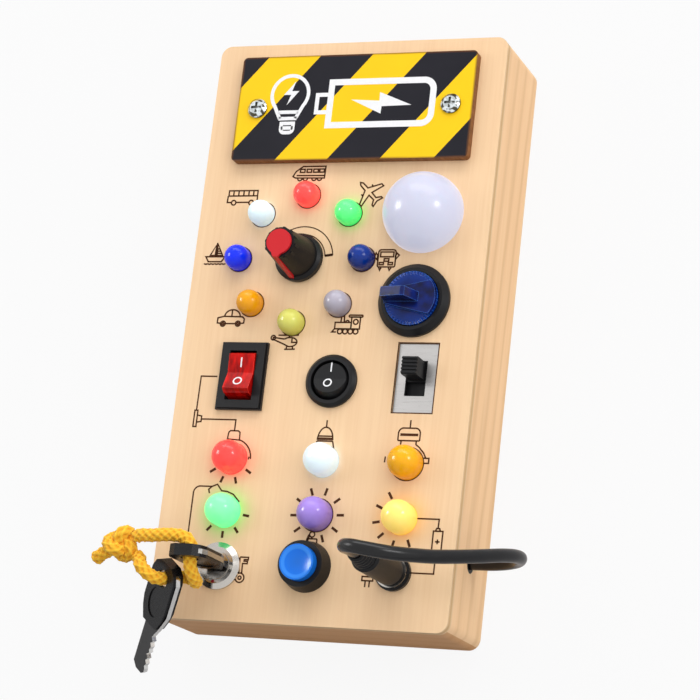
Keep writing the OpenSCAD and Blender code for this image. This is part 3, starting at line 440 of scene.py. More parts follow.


# Face panel: pale grain, the lit lamps' glow painted on as halos, and scorched laser-cut sides
def panelWood():
    material, tree, shader, spot = newMaterial("panelWood", Roughness=0.52, specular=0.22)
    grain = grainOf(tree, spot, (0.88, 0.622, 0.378), (0.785, 0.507, 0.287))
    colour = grain["Colour"]
    for name, (tint, reach, weight) in halos.items():
        lo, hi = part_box(name)
        radius = (hi.x - lo.x) / 2 - lampFlange * mm
        values = {"Centre": (*middle(name).xy, 0), "Radius": radius, "Reach": reach * mm}
        mask = use(tree, "lampHalo", {"Vector": spot} | values)["Mask"]
        colour = mix(tree, times(tree, mask, weight), colour, tint)
    values = {"Vector": spot, "Scale": 105.0, "Distortion": 0.6}
    layers = put(tree, "TexWave", values, bands_direction="Z").outputs["Fac"]
    ply = mix(tree, layers, (0.80, 0.57, 0.33), (0.62, 0.38, 0.18))
    paint(tree, shader, mix(tree, facesAlong(tree, 2, 0.5), ply, colour))
    bump(tree, shader, grain["Height"], 0.06, 0.35)
    return material


# Frame: pine with growth lines along the walls, and across the end walls, which are painted darker and warmer
# as painted shade
def frameWood():
    material, tree, shader, spot = newMaterial("frameWood", Roughness=0.55, specular=0.14)
    across = put(tree, "Mapping", {"Vector": spot, "Rotation": (0, 0, math.pi / 2)}).outputs[0]
    endWall = facesAlong(tree, 1, 0.7)
    vector = put(tree, "Mix", {0: endWall, 4: spot, 5: across}, data_type="VECTOR").outputs[1]
    grain = grainOf(tree, vector, (0.94, 0.64, 0.375), (0.85, 0.525, 0.275))
    lines = use(tree, "growthLines", {"Vector": vector, "Spacing": 75.0, "Wave": 4.0})
    darker = mix(tree, times(tree, lines["Mask"], 0.28), grain["Colour"], (0.58, 0.31, 0.13))
    # End walls painted darker and warmer: painted shade
    endWallShade = mix(tree, times(tree, endWall, 0.58), darker, (0.50, 0.19, 0.04))
    paint(tree, shader, mix(tree, paleEdgeShare(tree, 0.9, 1.6, 0.4), endWallShade, (0.90, 0.72, 0.48)))
    bump(tree, shader, maths(tree, "ADD", grain["Height"], times(tree, lines["Mask"], 0.4)), 0.08, 0.4)
    return material


def plainWood(name, light, dark):
    material, tree, shader, spot = newMaterial(name, Roughness=0.6)
    grain = grainOf(tree, spot, light, dark)
    paint(tree, shader, grain["Colour"])
    bump(tree, shader, grain["Height"], 0.06, 0.4)
    return material


# Cover: slanted black and yellow stripes printed on ply, its cut edge burnt brown; sizes in mm
stripes = dict(width=17.4, slant=0.845, firstBlack=-26.4, burn=0.7)


def signPrint():
    material, tree, shader, spot = newMaterial("signPrint", Roughness=0.55, specular=0.12)
    at = middle("sign_plate")
    lo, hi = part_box("sign_plate")
    parts = partsOf(tree, spot)
    up = minus(tree, parts[1], at.y)
    lean = minus(tree, parts[0], times(tree, up, stripes["slant"]))
    turns = maths(tree, "DIVIDE", minus(tree, lean, stripes["firstBlack"] * mm), 2 * stripes["width"] * mm)
    black = maths(tree, "LESS_THAN", maths(tree, "FRACT", turns), 0.5)
    paper = noise(tree, spot, 2600.0, 3.0)
    slow = noise(tree, spot, 60.0, 2.0)
    yellow = mix(tree, slow, (0.98, 0.62, 0.008), (0.93, 0.56, 0.008))
    ink = mix(tree, slow, (0.008, 0.008, 0.012), (0.016, 0.015, 0.022))
    printed = mix(tree, black, yellow, ink)
    sideX = minus(tree, (hi.x - lo.x) / 2, maths(tree, "ABSOLUTE", minus(tree, parts[0], at.x)))
    sideY = minus(tree, (hi.y - lo.y) / 2, maths(tree, "ABSOLUTE", up))
    rim = maths(
        tree, "ADD", maths(tree, "MINIMUM", sideX, sideY), times(tree, minus(tree, slow, 0.5), 0.5 * mm)
    )
    burnt = ramp(tree, rim, 0.1 * mm, stripes["burn"] * mm, 0.75, 0.0)
    scorch = mix(
        tree, noise(tree, stretched(tree, spot, (900, 900, 250))), (0.10, 0.035, 0.012), (0.36, 0.16, 0.06)
    )
    face = mix(tree, burnt, printed, (0.16, 0.06, 0.02))
    paint(tree, shader, mix(tree, facesAlong(tree, 2, 0.5), scorch, face))
    bump(tree, shader, paper, 0.02, 0.3)
    return material


# Metal: brushed or drawn one way, with bright edges
def metal(name, colour, rough, lines=(2500, 60, 2500), depth=0.01):
    material, tree, shader, spot = newMaterial(name, Metallic=1.0)
    drawn = noise(tree, stretched(tree, spot, lines))
    tint = mix(tree, times(tree, drawn, 0.35), colour, [0.6 * c for c in colour])
    paint(tree, shader, mix(tree, paleEdgeShare(tree, 0.15, 2.0, 0.5), tint, (0.95, 0.95, 0.93)))
    paint(tree, shader, ramp(tree, drawn, 0.3, 0.7, rough * 0.7, rough * 1.3), "Roughness")
    bump(tree, shader, drawn, depth, 0.4)
    return material


# Plastic: one colour that drifts a little, a moulded grain and paler edges
def plastic(name, colour, rough, grain=2400.0, depth=0.02, edge=0.25, coat=0.0, **sockets):
    material, tree, shader, spot = newMaterial(name, Coat_Weight=coat, Coat_Roughness=0.08, **sockets)
    moulded = use(tree, "mouldGrain", {"Vector": spot, "Scale": grain})
    paler = [min(1.0, c * 1.35 + 0.03) for c in colour]
    drift = mix(tree, times(tree, moulded["Sink"], 0.35), colour, [0.8 * c for c in colour])
    paint(tree, shader, mix(tree, paleEdgeShare(tree, 0.25, 1.5, edge), drift, paler))
    paint(tree, shader, ramp(tree, moulded["Height"], 0.3, 0.7, rough * 0.85, rough * 1.15), "Roughness")
    bump(tree, shader, moulded["Height"], depth, 0.35)
    return material


# Lamp: tinted milky plastic, its colour painted deeper towards its base as painted shade, lit from inside
# where it glows
def lampMaterial(node, colour, rim, glow=0.0):
    milk = dict(Subsurface_Weight=0.25, Subsurface_Radius=(1.0, 0.8, 0.7), Subsurface_Scale=1.2 * mm)
    surface = dict(Roughness=0.17, specular=0.3, Emission_Strength=glow)
    material, tree, shader, spot = newMaterial(node + "Look", **surface, **milk)
    # Deeper colour towards the base: painted shade
    low = ramp(tree, partsOf(tree, spot)[2], faceZ * mm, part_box(node)[1].z, 1.0, 0.0)
    cloud = noise(tree, spot, 420.0, 2.0)
    depth = maths(tree, "ADD", times(tree, low, 0.8), times(tree, cloud, 0.25), True)
    shown = mix(tree, depth, colour, rim)
    paint(tree, shader, shown)
    if glow:
        paint(tree, shader, shown, "Emission Color")
    bump(tree, shader, noise(tree, spot, 900.0, 1.0), 0.01, 0.2)
    return material


# Each lamp: its colour, its colour at its base where painted shade deepens it, and its glow
lampLooks = {
    "lamp_ring_white": ((0.72, 0.85, 0.90), (0.60, 0.78, 0.86), 0.35),
    "lamp_ring_red": ((1.0, 0.055, 0.050), (0.96, 0.08, 0.07), 0.62),
    "lamp_ring_green": ((0.12, 0.90, 0.22), (0.04, 0.76, 0.14), 0.52),
    "lamp_ring_blue": ((0.004, 0.028, 0.86), (0.002, 0.010, 0.56), 0.30),
    "lamp_ring_navy": ((0.002, 0.035, 0.30), (0.001, 0.014, 0.14), 0.0),
    "lamp_ring_orange": ((0.98, 0.43, 0.003), (0.80, 0.31, 0.003), 0.0),
    "lamp_ring_lime": ((0.80, 0.78, 0.18), (0.56, 0.57, 0.09), 0.0),
    "lamp_ring_grey": ((0.50, 0.47, 0.55), (0.32, 0.30, 0.38), 0.0),
    "lamp_red": ((1.0, 0.050, 0.045), (0.96, 0.07, 0.06), 0.62),
    "lamp_green": ((0.20, 1.0, 0.33), (0.13, 0.90, 0.34), 0.68),
    "lamp_white": ((0.74, 0.85, 0.90), (0.62, 0.78, 0.85), 0.33),
    "lamp_violet": ((0.46, 0.31, 0.88), (0.22, 0.13, 0.52), 0.0),
    "lamp_orange": ((1.0, 0.47, 0.003), (0.84, 0.34, 0.003), 0.03),
    "lamp_yellow": ((1.0, 0.74, 0.19), (1.0, 0.64, 0.10), 0.36),
}


# Rope: warm yellow yarn whose fibres follow the plaits, with painted shade between them
def ropeYarn():
    material, tree, shader, spot = newMaterial(
        "ropeYarn", Roughness=0.8, Sheen_Weight=0.1, Sheen_Roughness=0.5, specular=0.2
    )
    fibre = noise(tree, spot, 5200.0, 4.0, 0.7)
    tuft = noise(tree, spot, 900.0, 2.0)
    shown = mix(tree, tuft, (1.0, 0.60, 0.03), (1.0, 0.50, 0.016))
    shown = mix(tree, times(tree, fibre, 0.4), shown, (1.0, 0.72, 0.12))
    raised = put(tree, "Attribute", attribute_name="plait").outputs["Fac"]
    grooveShade = ramp(tree, raised, 0.42, 0.8, 0.75, 0.0)
    shown = mix(tree, grooveShade, shown, (0.80, 0.31, 0.008))
    paint(tree, shader, shown)
    bump(tree, shader, fibre, 0.12, 0.6)
    return material


# Marks burnt or printed on the face
def markMaterial(name, dark, light, rough=0.8):
    material, tree, shader, spot = newMaterial(name, Roughness=rough, specular=0.1)
    paint(tree, shader, mix(tree, noise(tree, spot, 1500.0, 2.0), dark, light))
    return material


# Circuit board: solder mask with lighter tracks
def boardMaterial(name, mask, track):
    material, tree, shader, spot = newMaterial(name, Roughness=0.35, Coat_Weight=0.3)
    values = {"Scale": 260.0, "Mortar Size": 0.06, "Color1": mask, "Color2": mask, "Mortar": track}
    cells = put(tree, "TexBrick", {"Vector": spot} | values).outputs
    paint(tree, shader, mix(tree, noise(tree, spot, 90.0), cells["Color"], mask))
    bump(tree, shader, cells["Fac"], 0.03, 0.3)
    return material


# Selector: deep clear blue, with fine ribs round the rim of its disc; its rim, its ribs and its edges are
# painted paler as painted highlights
def selectorMaterial():
    material, tree, shader, spot = newMaterial(
        "selectorBlue", Roughness=0.14, specular=0.2, Transmission_Weight=0.15
    )
    out = vectors(tree, "SUBTRACT", spot, (selectorAt.x * mm, selectorAt.y * mm, 0))
    parts = partsOf(tree, out)
    angle = maths(tree, "ARCTAN2", parts[1], parts[0])
    far = awayFrom(tree, spot, selectorAt)
    rim = ramp(tree, far, 7.2 * mm, 7.5 * mm)
    low = maths(tree, "LESS_THAN", parts[2], (faceZ + 4) * mm)
    ribs = times(tree, maths(tree, "SINE", times(tree, angle, 48.0)), times(tree, rim, low))
    cloud = noise(tree, spot, 260.0, 2.0)
    shown = mix(tree, ramp(tree, cloud, 0.35, 0.65), (0.001, 0.014, 0.17), (0.001, 0.003, 0.045))
    # Paler rim, paler ribs and paler edges: painted highlights
    paler = times(tree, ramp(tree, far, 3.5 * mm, 7.5 * mm), low)
    shown = mix(tree, times(tree, paler, 0.5), shown, (0.004, 0.06, 0.42))
    shown = mix(tree, times(tree, ribs, 0.4, True), shown, (0.02, 0.12, 0.62))
    paint(tree, shader, mix(tree, paleEdgeShare(tree, 0.45, 3.0, 0.8), shown, (0.06, 0.20, 0.72)))
    bump(tree, shader, ribs, 0.25, 0.6)
    return material


# Red rocker: clear plastic that shows a dark inside in soft streaks, its edges painted paler as a painted
# highlight where they catch the light
def rockerMaterial():
    material, tree, shader, spot = newMaterial("rockerRed", Roughness=0.18, specular=0.16)
    streak = noise(tree, stretched(tree, spot, (620, 150, 300)), 1.0, 2.0)
    depth = ramp(tree, streak, 0.36, 0.66)
    shown = mix(tree, depth, (0.66, 0.006, 0.003), (0.27, 0.001, 0.001))
    paint(tree, shader, mix(tree, paleEdgeShare(tree, 0.4, 2.6, 0.8), shown, (0.95, 0.07, 0.04)))
    bump(tree, shader, streak, 0.02, 0.3)
    return material


# Push button's cap: a painted highlight in a pale ring round its rim and on its edges, and painted shade
# deepening the blue towards the middle of its dish
def capMaterial():
    material, tree, shader, spot = newMaterial("capBlue", Roughness=0.2, specular=0.25)
    lo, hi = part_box("button_cap")
    far = maths(tree, "DIVIDE", awayFrom(tree, spot, buttonAt), (hi.x - lo.x) / 2)
    moulded = use(tree, "mouldGrain", {"Vector": spot, "Scale": 1600.0})
    dishShade = ramp(tree, far, 0.0, 0.7)
    shown = mix(tree, dishShade, (0.012, 0.155, 0.65), (0.005, 0.17, 0.78))
    shown = mix(tree, times(tree, moulded["Sink"], 0.2), shown, (0.001, 0.09, 0.5))
    # Pale ring and pale edges: painted highlight
    ring = times(tree, ramp(tree, far, 0.68, 0.76), ramp(tree, far, 0.96, 0.88))
    bright = maths(tree, "MAXIMUM", times(tree, ring, 0.4), paleEdgeShare(tree, 0.3, 2.0, 0.8))
    paint(tree, shader, mix(tree, bright, shown, (0.07, 0.38, 1.0)))
    bump(tree, shader, moulded["Height"], 0.008, 0.35)
    return material


# Spare key's metal: its broad faces painted dark as a painted reflection of the dark room, its thin edges
# painted bright as a painted shine
def spareKeySteel(facing):
    material, tree, shader, spot = newMaterial("spareSteel", Metallic=1.0, Roughness=0.2)
    lean = vectors(tree, "DOT_PRODUCT", normalOf(tree), facing, "Value")
    flat = maths(tree, "GREATER_THAN", maths(tree, "ABSOLUTE", lean), 0.8)
    drawn = noise(tree, stretched(tree, spot, (2500, 300, 300)))
    bright = mix(tree, drawn, (0.93, 0.92, 0.90), (0.70, 0.69, 0.67))
    paint(tree, shader, mix(tree, flat, bright, (0.055, 0.054, 0.055)))
    bump(tree, shader, drawn, 0.006, 0.4)
    return material


# Cover's screws: bright zinc with a painted reflection of the room in dark patches, more of them towards its
# rim, and painted shade down in the cross
def zincMaterial():
    material, tree, shader, spot = newMaterial("zinc", Metallic=1.0, Roughness=0.22)
    upward = partsOf(tree, normalOf(tree))[2]
    reflectionPatches = ramp(tree, noise(tree, spot, 640.0, 1.0), 0.56, 0.44)
    reflectionAndShade = times(tree, reflectionPatches, ramp(tree, upward, 0.97, 0.8, 0.3, 1.0))
    reflectionAndShade = maths(tree, "MAXIMUM", reflectionAndShade, ramp(tree, upward, 0.45, 0.2))
    paint(tree, shader, mix(tree, reflectionAndShade, (0.76, 0.82, 0.84), (0.085, 0.08, 0.055)))
    bump(tree, shader, noise(tree, spot, 1300.0, 2.0), 0.05, 0.4)
    return material


dark = (0.006, 0.006, 0.007)
milky = dict(
    specular=0.28, Subsurface_Weight=0.3, Subsurface_Scale=2 * mm,
    Emission_Color=(0.80, 0.82, 1.0), Emission_Strength=0.5,
)
looks = [
    spareKeySteel((-0.5, -0.27, 0.82)),
    panelWood(),
    frameWood(),
    plainWood("backWood", (0.80, 0.60, 0.38), (0.68, 0.46, 0.26)),
    plainWood("blockWood", (0.78, 0.56, 0.32), (0.60, 0.38, 0.19)),
    signPrint(),
    metal("steel", (0.42, 0.43, 0.44), 0.24),
    metal("nickel", (0.56, 0.53, 0.49), 0.18, (700, 700, 700), 0.004),
    zincMaterial(),
    metal("plateMetal", (0.50, 0.485, 0.475), 0.36, (120, 9000, 120), 0.004),
    plastic("holderPlastic", (0.03, 0.03, 0.034), 0.5),
    plastic("batterySkin", (0.05, 0.09, 0.12), 0.3, coat=0.4),
    boardMaterial("boardGreen", (0.01, 0.10, 0.04), (0.03, 0.20, 0.08)),
    boardMaterial("boardWhite", (0.75, 0.75, 0.73), (0.60, 0.58, 0.50)),
    plastic("blackMatte", (0.007, 0.007, 0.008), 0.42, 3200.0, 0.03, edge=0.1, specular=0.2),
    plastic("blackGloss", dark, 0.28, edge=0.1, specular=0.23),
    plastic("pointerRed", (0.62, 0.014, 0.022), 0.4, edge=0.1, specular=0.2),
    plastic("dotRed", (0.22, 0.006, 0.010), 0.35, edge=0.1, specular=0.2),
    plastic("domeWhite", (0.29, 0.29, 0.36), 0.2, 400.0, 0.0004, 0.0, **milky),
    selectorMaterial(),
    rockerMaterial(),
    capMaterial(),
    ropeYarn(),
    plastic("leadBlack", dark, 0.22, 1400.0, 0.012, 0.0, specular=0.34),
    metal("keySteel", (0.42, 0.41, 0.39), 0.2, (300, 2500, 300), 0.006),
    markMaterial("burntLine", (0.034, 0.012, 0.005), (0.11, 0.042, 0.018)),
    markMaterial("whitePrint", (0.80, 0.80, 0.82), (0.90, 0.90, 0.91), 0.45),
]
# By name, less the number that a name gets where the frame has one like it
looks = {material.name.split(".")[0]: material for material in looks}

# Nodes that wear each look
wearers = dict(
    spareSteel="spare_key_blade",
    panelWood="front_panel",
    frameWood="body_frame",
    backWood="back_panel",
    blockWood="screw_blocks",
    signPrint="sign_plate",
    steel="back_screws battery_springs dial_body dial_shaft button_spring",
    nickel="board_standoffs switch_terminals panel_nuts lock_barrel lock_cylinder plug_tip",
    zinc="sign_screws",
    plateMetal="slide_plate",
    holderPlastic="battery_holder",
    batterySkin="batteries",
    boardGreen="ring_board lamp_board",
    boardWhite="dome_board",
    blackMatte="dial_knob selector_body rocker_frame round_frame round_button "
    "slide_body slide_knob button_body plug_grip lead_grommet",
    blackGloss="key_head spare_key_head jack_socket",
    pointerRed="dial_cap",
    domeWhite="dome_lens",
    selectorBlue="selector_knob",
    rockerRed="rocker_button",
    capBlue="button_cap",
    ropeYarn="key_rope",
    leadBlack="plug_lead lead_inner",
    keySteel="key_blade",
)
worn = {name: looks[look] for look, wearing in wearers.items() for name in wearing.split()}
worn |= {name: lampMaterial(name, *settings) for name, settings in lampLooks.items()}
for name, material in worn.items():
    for place in nodes[name].material_slots:
        place.material = material
leadPiece.data.materials.append(looks["leadBlack"])
for piece in (ropePiece, tailPiece, knotPiece):
    piece.data.materials.append(looks["ropeYarn"])
print("materials placed")


# ---- marks: shapes drawn flat in mm, each a list of points and whether it closes
def line(*xy):
    return np.reshape(xy, (-1, 2)).astype(float), False


def loop(*xy):
    return np.reshape(xy, (-1, 2)).astype(float), True


def bar(x0, y0, x1, y1):
    return loop(x0, y0, x1, y0, x1, y1, x0, y1)


# Arc: centre + r * (cos a, tall * sin a), a in steps of about 8 degrees
def arc(x, y, r, start, end, tall=1.0):
    a = np.radians(np.linspace(start, end, max(5, int(abs(end - start) / 8)) + 1))
    return np.stack([x + r * np.cos(a), y + tall * r * np.sin(a)], 1), False


def circle(x, y, r, tall=1.0):
    return arc(x, y, r, 0, 360, tall)[0][:-1], True


# Box with round corners, the corners given from the lower right one anticlockwise
def roundBar(x0, y0, x1, y1, radii=(0.3, 0.3, 0.3, 0.3)):
    corners = [
        (x1, y0, -90, radii[0]), (x1, y1, 0, radii[1]), (x0, y1, 90, radii[2]), (x0, y0, 180, radii[3])
    ]
    parts = []
    for x, y, start, r in corners:
        if not r:
            parts.append(np.array([[x, y]], float))
            continue
        cx, cy = x - math.copysign(r, x - (x0 + x1) / 2), y - math.copysign(r, y - (y0 + y1) / 2)
        parts.append(arc(cx, cy, r, start, start + 90)[0])
    return np.vstack(parts), True


# Shapes turned about the origin, then moved to x, y
def turned(shapes, x, y, angle):
    c, s = math.cos(math.radians(angle)), math.sin(math.radians(angle))
    return [(points @ np.array([[c, s], [-s, c]]) + (x, y), closed) for points, closed in shapes]


# Corners sharper than this cosine have their mitre cut short
sharpest = 0.45


# Ribbon round a line: point +- width / 2 * mitre, at two heights
def ribbon(points, closed, width, low, high):
    step = np.diff(np.vstack([points, points[:1]]) if closed else points, axis=0)
    step /= np.linalg.norm(step, axis=1)[:, None]
    before = np.vstack([step[-1:] if closed else step[:1], step if not closed else step[:-1]])
    after = step if closed else np.vstack([step, step[-1:]])
    mean = before + after
    mean /= np.maximum(np.linalg.norm(mean, axis=1), 1e-6)[:, None]
    mitre = np.stack([-mean[:, 1], mean[:, 0]], 1) / np.clip((mean * after).sum(1), sharpest, 1)[:, None]
    left, right = points + mitre * width / 2, points - mitre * width / 2
    n = len(points)
    flat = np.stack([left, left, right, right], 1).reshape(-1, 2)
    rise = np.tile([low, high, high, low], n)
    faces = ringFaces(n, 4, closed).tolist()
    if not closed:
        faces += [[0, 1, 2, 3], [4 * n - 1, 4 * n - 2, 4 * n - 3, 4 * n - 4]]
    return np.column_stack([flat, rise]), faces


# Filled outline with walls, its top cut into triangles
def plateau(points, low, high):
    n = len(points)
    top = tessellate_polygon([[Vector((x, y, 0)) for x, y in points]])
    verts = np.vstack([np.column_stack([points, np.full(n, h)]) for h in (low, high)])
    k = np.arange(n)
    walls = np.stack([k, (k + 1) % n, n + (k + 1) % n, n + k], 1).tolist()
    return verts, walls + [[n + i for i in t] for t in top] + [list(t[::-1]) for t in top]


# Widths of the lines, in mm
stroke = dict(
    travel=0.48, band=0.36, bandEnd=0.8, lamps=0.46, rays=0.8, scorch=0.35,
    cover=1.15, pole=1.3, cell=2.0, switch=0.45,
)


# One piece of lines and filled outlines, sunk by low and raised by high; the size scales its lines
def marks(
    name, shapes, width, look="burntLine", height=faceZ, body="board", fills=(), place=None,
    low=-0.06, high=0.03, size=1.0,
):
    verts, faces, count = [], [], 0
    made = [ribbon(points, closed, stroke[width] * size, low, high) for points, closed in shapes]
    made += [plateau(points, low, high) for points, closed in fills]
    for v, f in made:
        verts.append(v)
        faces += [[i + count for i in face] for face in f]
        count += len(v)
    verts = np.vstack(verts) + (0, 0, height)
    if place is not None:
        verts = verts @ np.array(place.to_3x3()).T + np.array(place.translation)
    return meshPiece(name, verts * mm, faces, body, looks[look], smooth=False)


def lampAt(name):
    return middle("lamp_" + name).xy / mm


# Rays round a lamp, at the angles given
def rays(name, near, far, angles):
    return [turned([line(near, 0, far, 0)], *lampAt(name), a)[0] for a in angles]


# Pictures round the ring of small lamps
bus = [
    bar(-38.6, 41.2, -28.9, 42.9), line(-38.8, 41.2, -38.9, 39.1, -37.5, 39.1),
    line(-35.9, 39.1, -31.6, 39.1), line(-30, 39.1, -28.8, 39.1, -28.9, 41.2)
]
bus += [line(x, 41.2, x, 42.9) for x in (-37, -35.3, -33.6, -31.9, -30.3)]
bus += [circle(-36.7, 39, 0.75), circle(-30.8, 39, 0.75)]
sailboat = [
    line(-40.3, 26, -40.3, 21.5), loop(-43.7, 21.5, -37.2, 21.5, -38.3, 19.9, -42.7, 19.9),
    loop(-40.6, 25.2, -42.3, 21.9, -40.6, 21.9), loop(-40, 25.5, -38.1, 21.9, -40, 21.9)
]
sailboat += [line(-40, y, -38.1 - (y - 21.9) * 0.53, y) for y in (22.6, 23.3, 24)]
sailboat += [arc(-43.4 + 1.2 * k, 19.5, 0.6, 200, 340, 0.7) for k in range(6)]
train = [
    line(-16.9, 46.8, -17.8, 47.3, -16.9, 48.9, -14.7, 50.5, -7.2, 50.5, -7.3, 46.7, -16.9, 46.8),
    line(-16.6, 47.6, -7.3, 47.5)
]
train += [bar(x, 48.6, x + 1.5, 49.6) for x in (-15.5, -13.3, -11.1, -9.1)]
train += [arc(x, 46.6, 0.7, 180, 360) for x in (-15.4, -13.6, -10.7, -8.9)]
plane = [
    loop(
        0, 4.2, 0.55, 3.4, 0.6, 1.1, 4.6, -1.1, 4.6, -2, 0.6, -1, 0.5, -3.2, 1.9, -4.2, 1.9, -4.8, 0, -4.3,
        -1.9, -4.8, -1.9, -4.2, -0.5, -3.2, -0.6, -1, -4.6, -2, -4.6, -1.1, -0.6, 1.1, -0.55, 3.4
    )
]
plane += [line(2.2, 0.2, 2.2, 1), line(-2.2, 0.2, -2.2, 1)]
plane = turned(plane, 7.8, 42.1, 45)
coach = [
    roundBar(13.4, 18.2, 19, 23.6, (0.5, 0.9, 0.9, 0.5)), bar(14.1, 21.4, 18.3, 22.9),
    bar(15.4, 20, 16.9, 20.8), bar(13.95, 18.9, 15.3, 19.6), bar(16.8, 18.9, 18.2, 19.6),
    line(13.9, 18, 14.3, 17.2, 14.7, 18), line(17, 18, 17.4, 17.2, 17.9, 18),
    loop(12.6, 22.6, 13.2, 21.9, 13.1, 20.5, 12.2, 21.3), loop(19.4, 22.5, 20.1, 21.9, 19, 20.5, 18.9, 21.7)
]
car = [
    line(-34.1, 0.1, -30.9, 0.1),
    line(-35.9, 0.2, -36.9, 0.3, -36.9, 1.9, -34.9, 2.4, -28.7, 2.3, -28, 1.6, -28.1, 0.3, -29.1, 0.2),
    arc(-32.1, 2.3, 2.6, 0, 180, 0.85), line(-32.3, 2.3, -32.3, 4.4), circle(-35, 0.05, 0.8),
    circle(-30, 0.1, 0.8), circle(-35, 0.05, 0.3), circle(-30, 0.1, 0.3)
]
copter = [
    line(-16, -3.4, -9.3, -3.3), line(-12.4, -3.4, -12.4, -4.1), arc(-12, -5.5, 2.3, -100, 140, 0.62),
    line(-13.8, -4.6, -17.6, -4.1, -17.6, -4.7, -13.9, -6.2, -12.4, -6.9), circle(-17.6, -4.2, 0.7),
    line(-13.6, -7.8, -10.1, -7.7), line(-12.8, -6.8, -13, -7.8), line(-11, -6.8, -10.9, -7.7),
    line(-11.4, -4.3, -11.4, -5.6, -9.8, -5.6)
]
engine = [
    bar(2, -1.2, 7.2, 0.8), bar(7.2, -1.2, 10, 2.5), roundBar(6.3, 2.5, 10.7, 3.1),
    line(3.8, 0.8, 3.9, 2.7, 4.8, 2.7, 4.9, 0.8), arc(5.9, 0.8, 0.6, 0, 180), circle(8.6, 1, 0.75)
]
engine += [circle(x, -2, 0.75) for x in (3.8, 5.5, 7.2, 8.9)] + [line(2, -1.2, 1.2, -2.2, 2.6, -2.2)]
marks("travelPictures", bus + sailboat + train + plane + coach + car + copter + engine, "travel")

# Band round the dial, between two circles, with a dark end
dial = dict(inner=7.9, outer=10.4, start=8, end=130)
inner = arc(*ringAt, dial["inner"], dial["start"], dial["end"])[0]
outer = arc(*ringAt, dial["outer"], dial["end"], dial["start"])[0]
marks("dialBand", [(np.vstack([inner, outer]), True)], "band")
marks("dialBandEnd", [(np.vstack([inner[:1], outer[-1:]]), False)], "bandEnd")

# Wires, holders and signs round the large lamps
circuit = [
    line(-34.5, -16.6, -39.9, -16.6, -40, -27.3), bar(-40.5, -32.4, -39.5, -27.3),
    line(-39.5, -28.8, -38, -29.1, -38, -30.8, -39.5, -31), line(-38, -30, -26.5, -30, -26.5, -33.4),
    loop(-28.5, -36, -28.3, -33.9, -27.8, -33.4, -25.2, -33.4, -24.6, -33.9, -24.5, -36.2),
    arc(*lampAt("red"), 6.0, 75, 0), line(-20.6, -41.2, -20.9, -42.1)
]
holder = [
    line(3.2, -29.4, 3.2, -31.6), arc(3.2, -35.5, 2.45, 180, 0, 1.6), line(0.7, -35.8, 5.7, -35.8),
    line(0.9, -34.3, 5.5, -34.3), line(5.7, -35.8, 6.3, -38), line(0.7, -35.8, 0.2, -38)
]
cableBox = [
    line(29.65, -28.8, 29.65, -31.1), roundBar(26.2, -35, 33, -31.2, (0.3, 1.6, 1.6, 0.3)),
    line(27.3, -35, 27.2, -36.2), line(32, -35, 32, -36.1, 33.1, -36.9, 34.7, -38.6, 35.5, -40.1),
    loop(35.5, -40.1, 36.5, -40.1, 36.5, -41.6, 34.5, -41.6, 34.6, -40.1), line(22.9, -39.9, 22.8, -41.7)
]
wire = [
    line(-37.4, -74, -37.4, -52.8), arc(-35.3, -52.8, 2.1, 180, 90),
    line(-35.3, -50.7, -31.5, -50.7, -29.8, -50, -28.2, -51.9, -26.3, -52.1, -24.2, -52.9, -22, -55.1),
    line(-31.5, -50.7, -32.5, -51.6, -32.1, -52.8)
]
battery = [
    line(34.6, -58, 41.7, -58, 41.6, -60.7), line(40.9, -61.5, 41.2, -60.7, 42.1, -60.7, 42.4, -61.5),
    bar(40.3, -69.5, 43.2, -61.5), line(41.7, -69.5, 41.7, -74, 34.5, -74), line(41.1, -64.6, 42.5, -64.6),
    line(41.8, -63.9, 41.8, -65.3), line(41.1, -67.6, 42.5, -67.6)
]
plugSign = [
    bar(19.9, -76.9, 23.3, -75.7), line(21, -76.9, 21, -78.8), line(22.3, -76.9, 22.3, -78.8),
    line(21.6, -75.7, 21.6, -74, 23, -73.2)
]
socketSign = [circle(2.7, -64, 0.8), line(2.7, -64.8, 2.7, -65.3), roundBar(1.3, -66.7, 4.4, -65.3)]
keySign = [
    line(-19.4, -71.8, -19.2, -76.6),
    line(
        -18.3, -76.6, -18.4, -73.6, -16.9, -73.6, -16.9, -72.9, -18, -72.9, -18, -72.4,
        -16.7, -72.4, -16.7, -71.7, -19.4, -71.7
    ),
    circle(-18.8, -77.9, 1.4), circle(-18.8, -77.9, 0.5),
]
marks("lampPictures", circuit + holder + cableBox + wire + battery + plugSign + socketSign + keySign, "lamps")
shines = rays("red", 5.9, 8, (-147, -111, -73, -33)) + rays("green", 5.9, 8, (-8, -52, -90, -132))
shines += rays("yellow", 6.7, 9, (122, 156, 190, 222, 257, 293)) + rays("violet", 6.2, 8.5, range(2, 360, 36))
shines += [line(0.9, -35.1, 5.5, -35.1), line(26.8, -33.2, 32.4, -33.2)]
marks("lampRays", shines, "rays")

# Dark rings round each lamp's hole and round the slide plate, so many mm outside them: the burnt walls of the
# cut holes, and painted shade for the gaps
scorch = dict(plate=0.2, hole=0.12)
lo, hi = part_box("slide_plate")
margin = Vector((scorch["plate"], scorch["plate"]))
rings = [bar(*(lo.xy / mm - margin), *(hi.xy / mm + margin))]
for name in lampLooks:
    if name in halos and "ring" not in name:
        continue
    lo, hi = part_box(name)
    cx, cy = (lo.xy + hi.xy) / 2 / mm
    rings.append(circle(cx, cy, (hi.x - lo.x) / 2 / mm - lampFlange + scorch["hole"]))
marks("holeScorch", rings, "scorch", high=0.02)

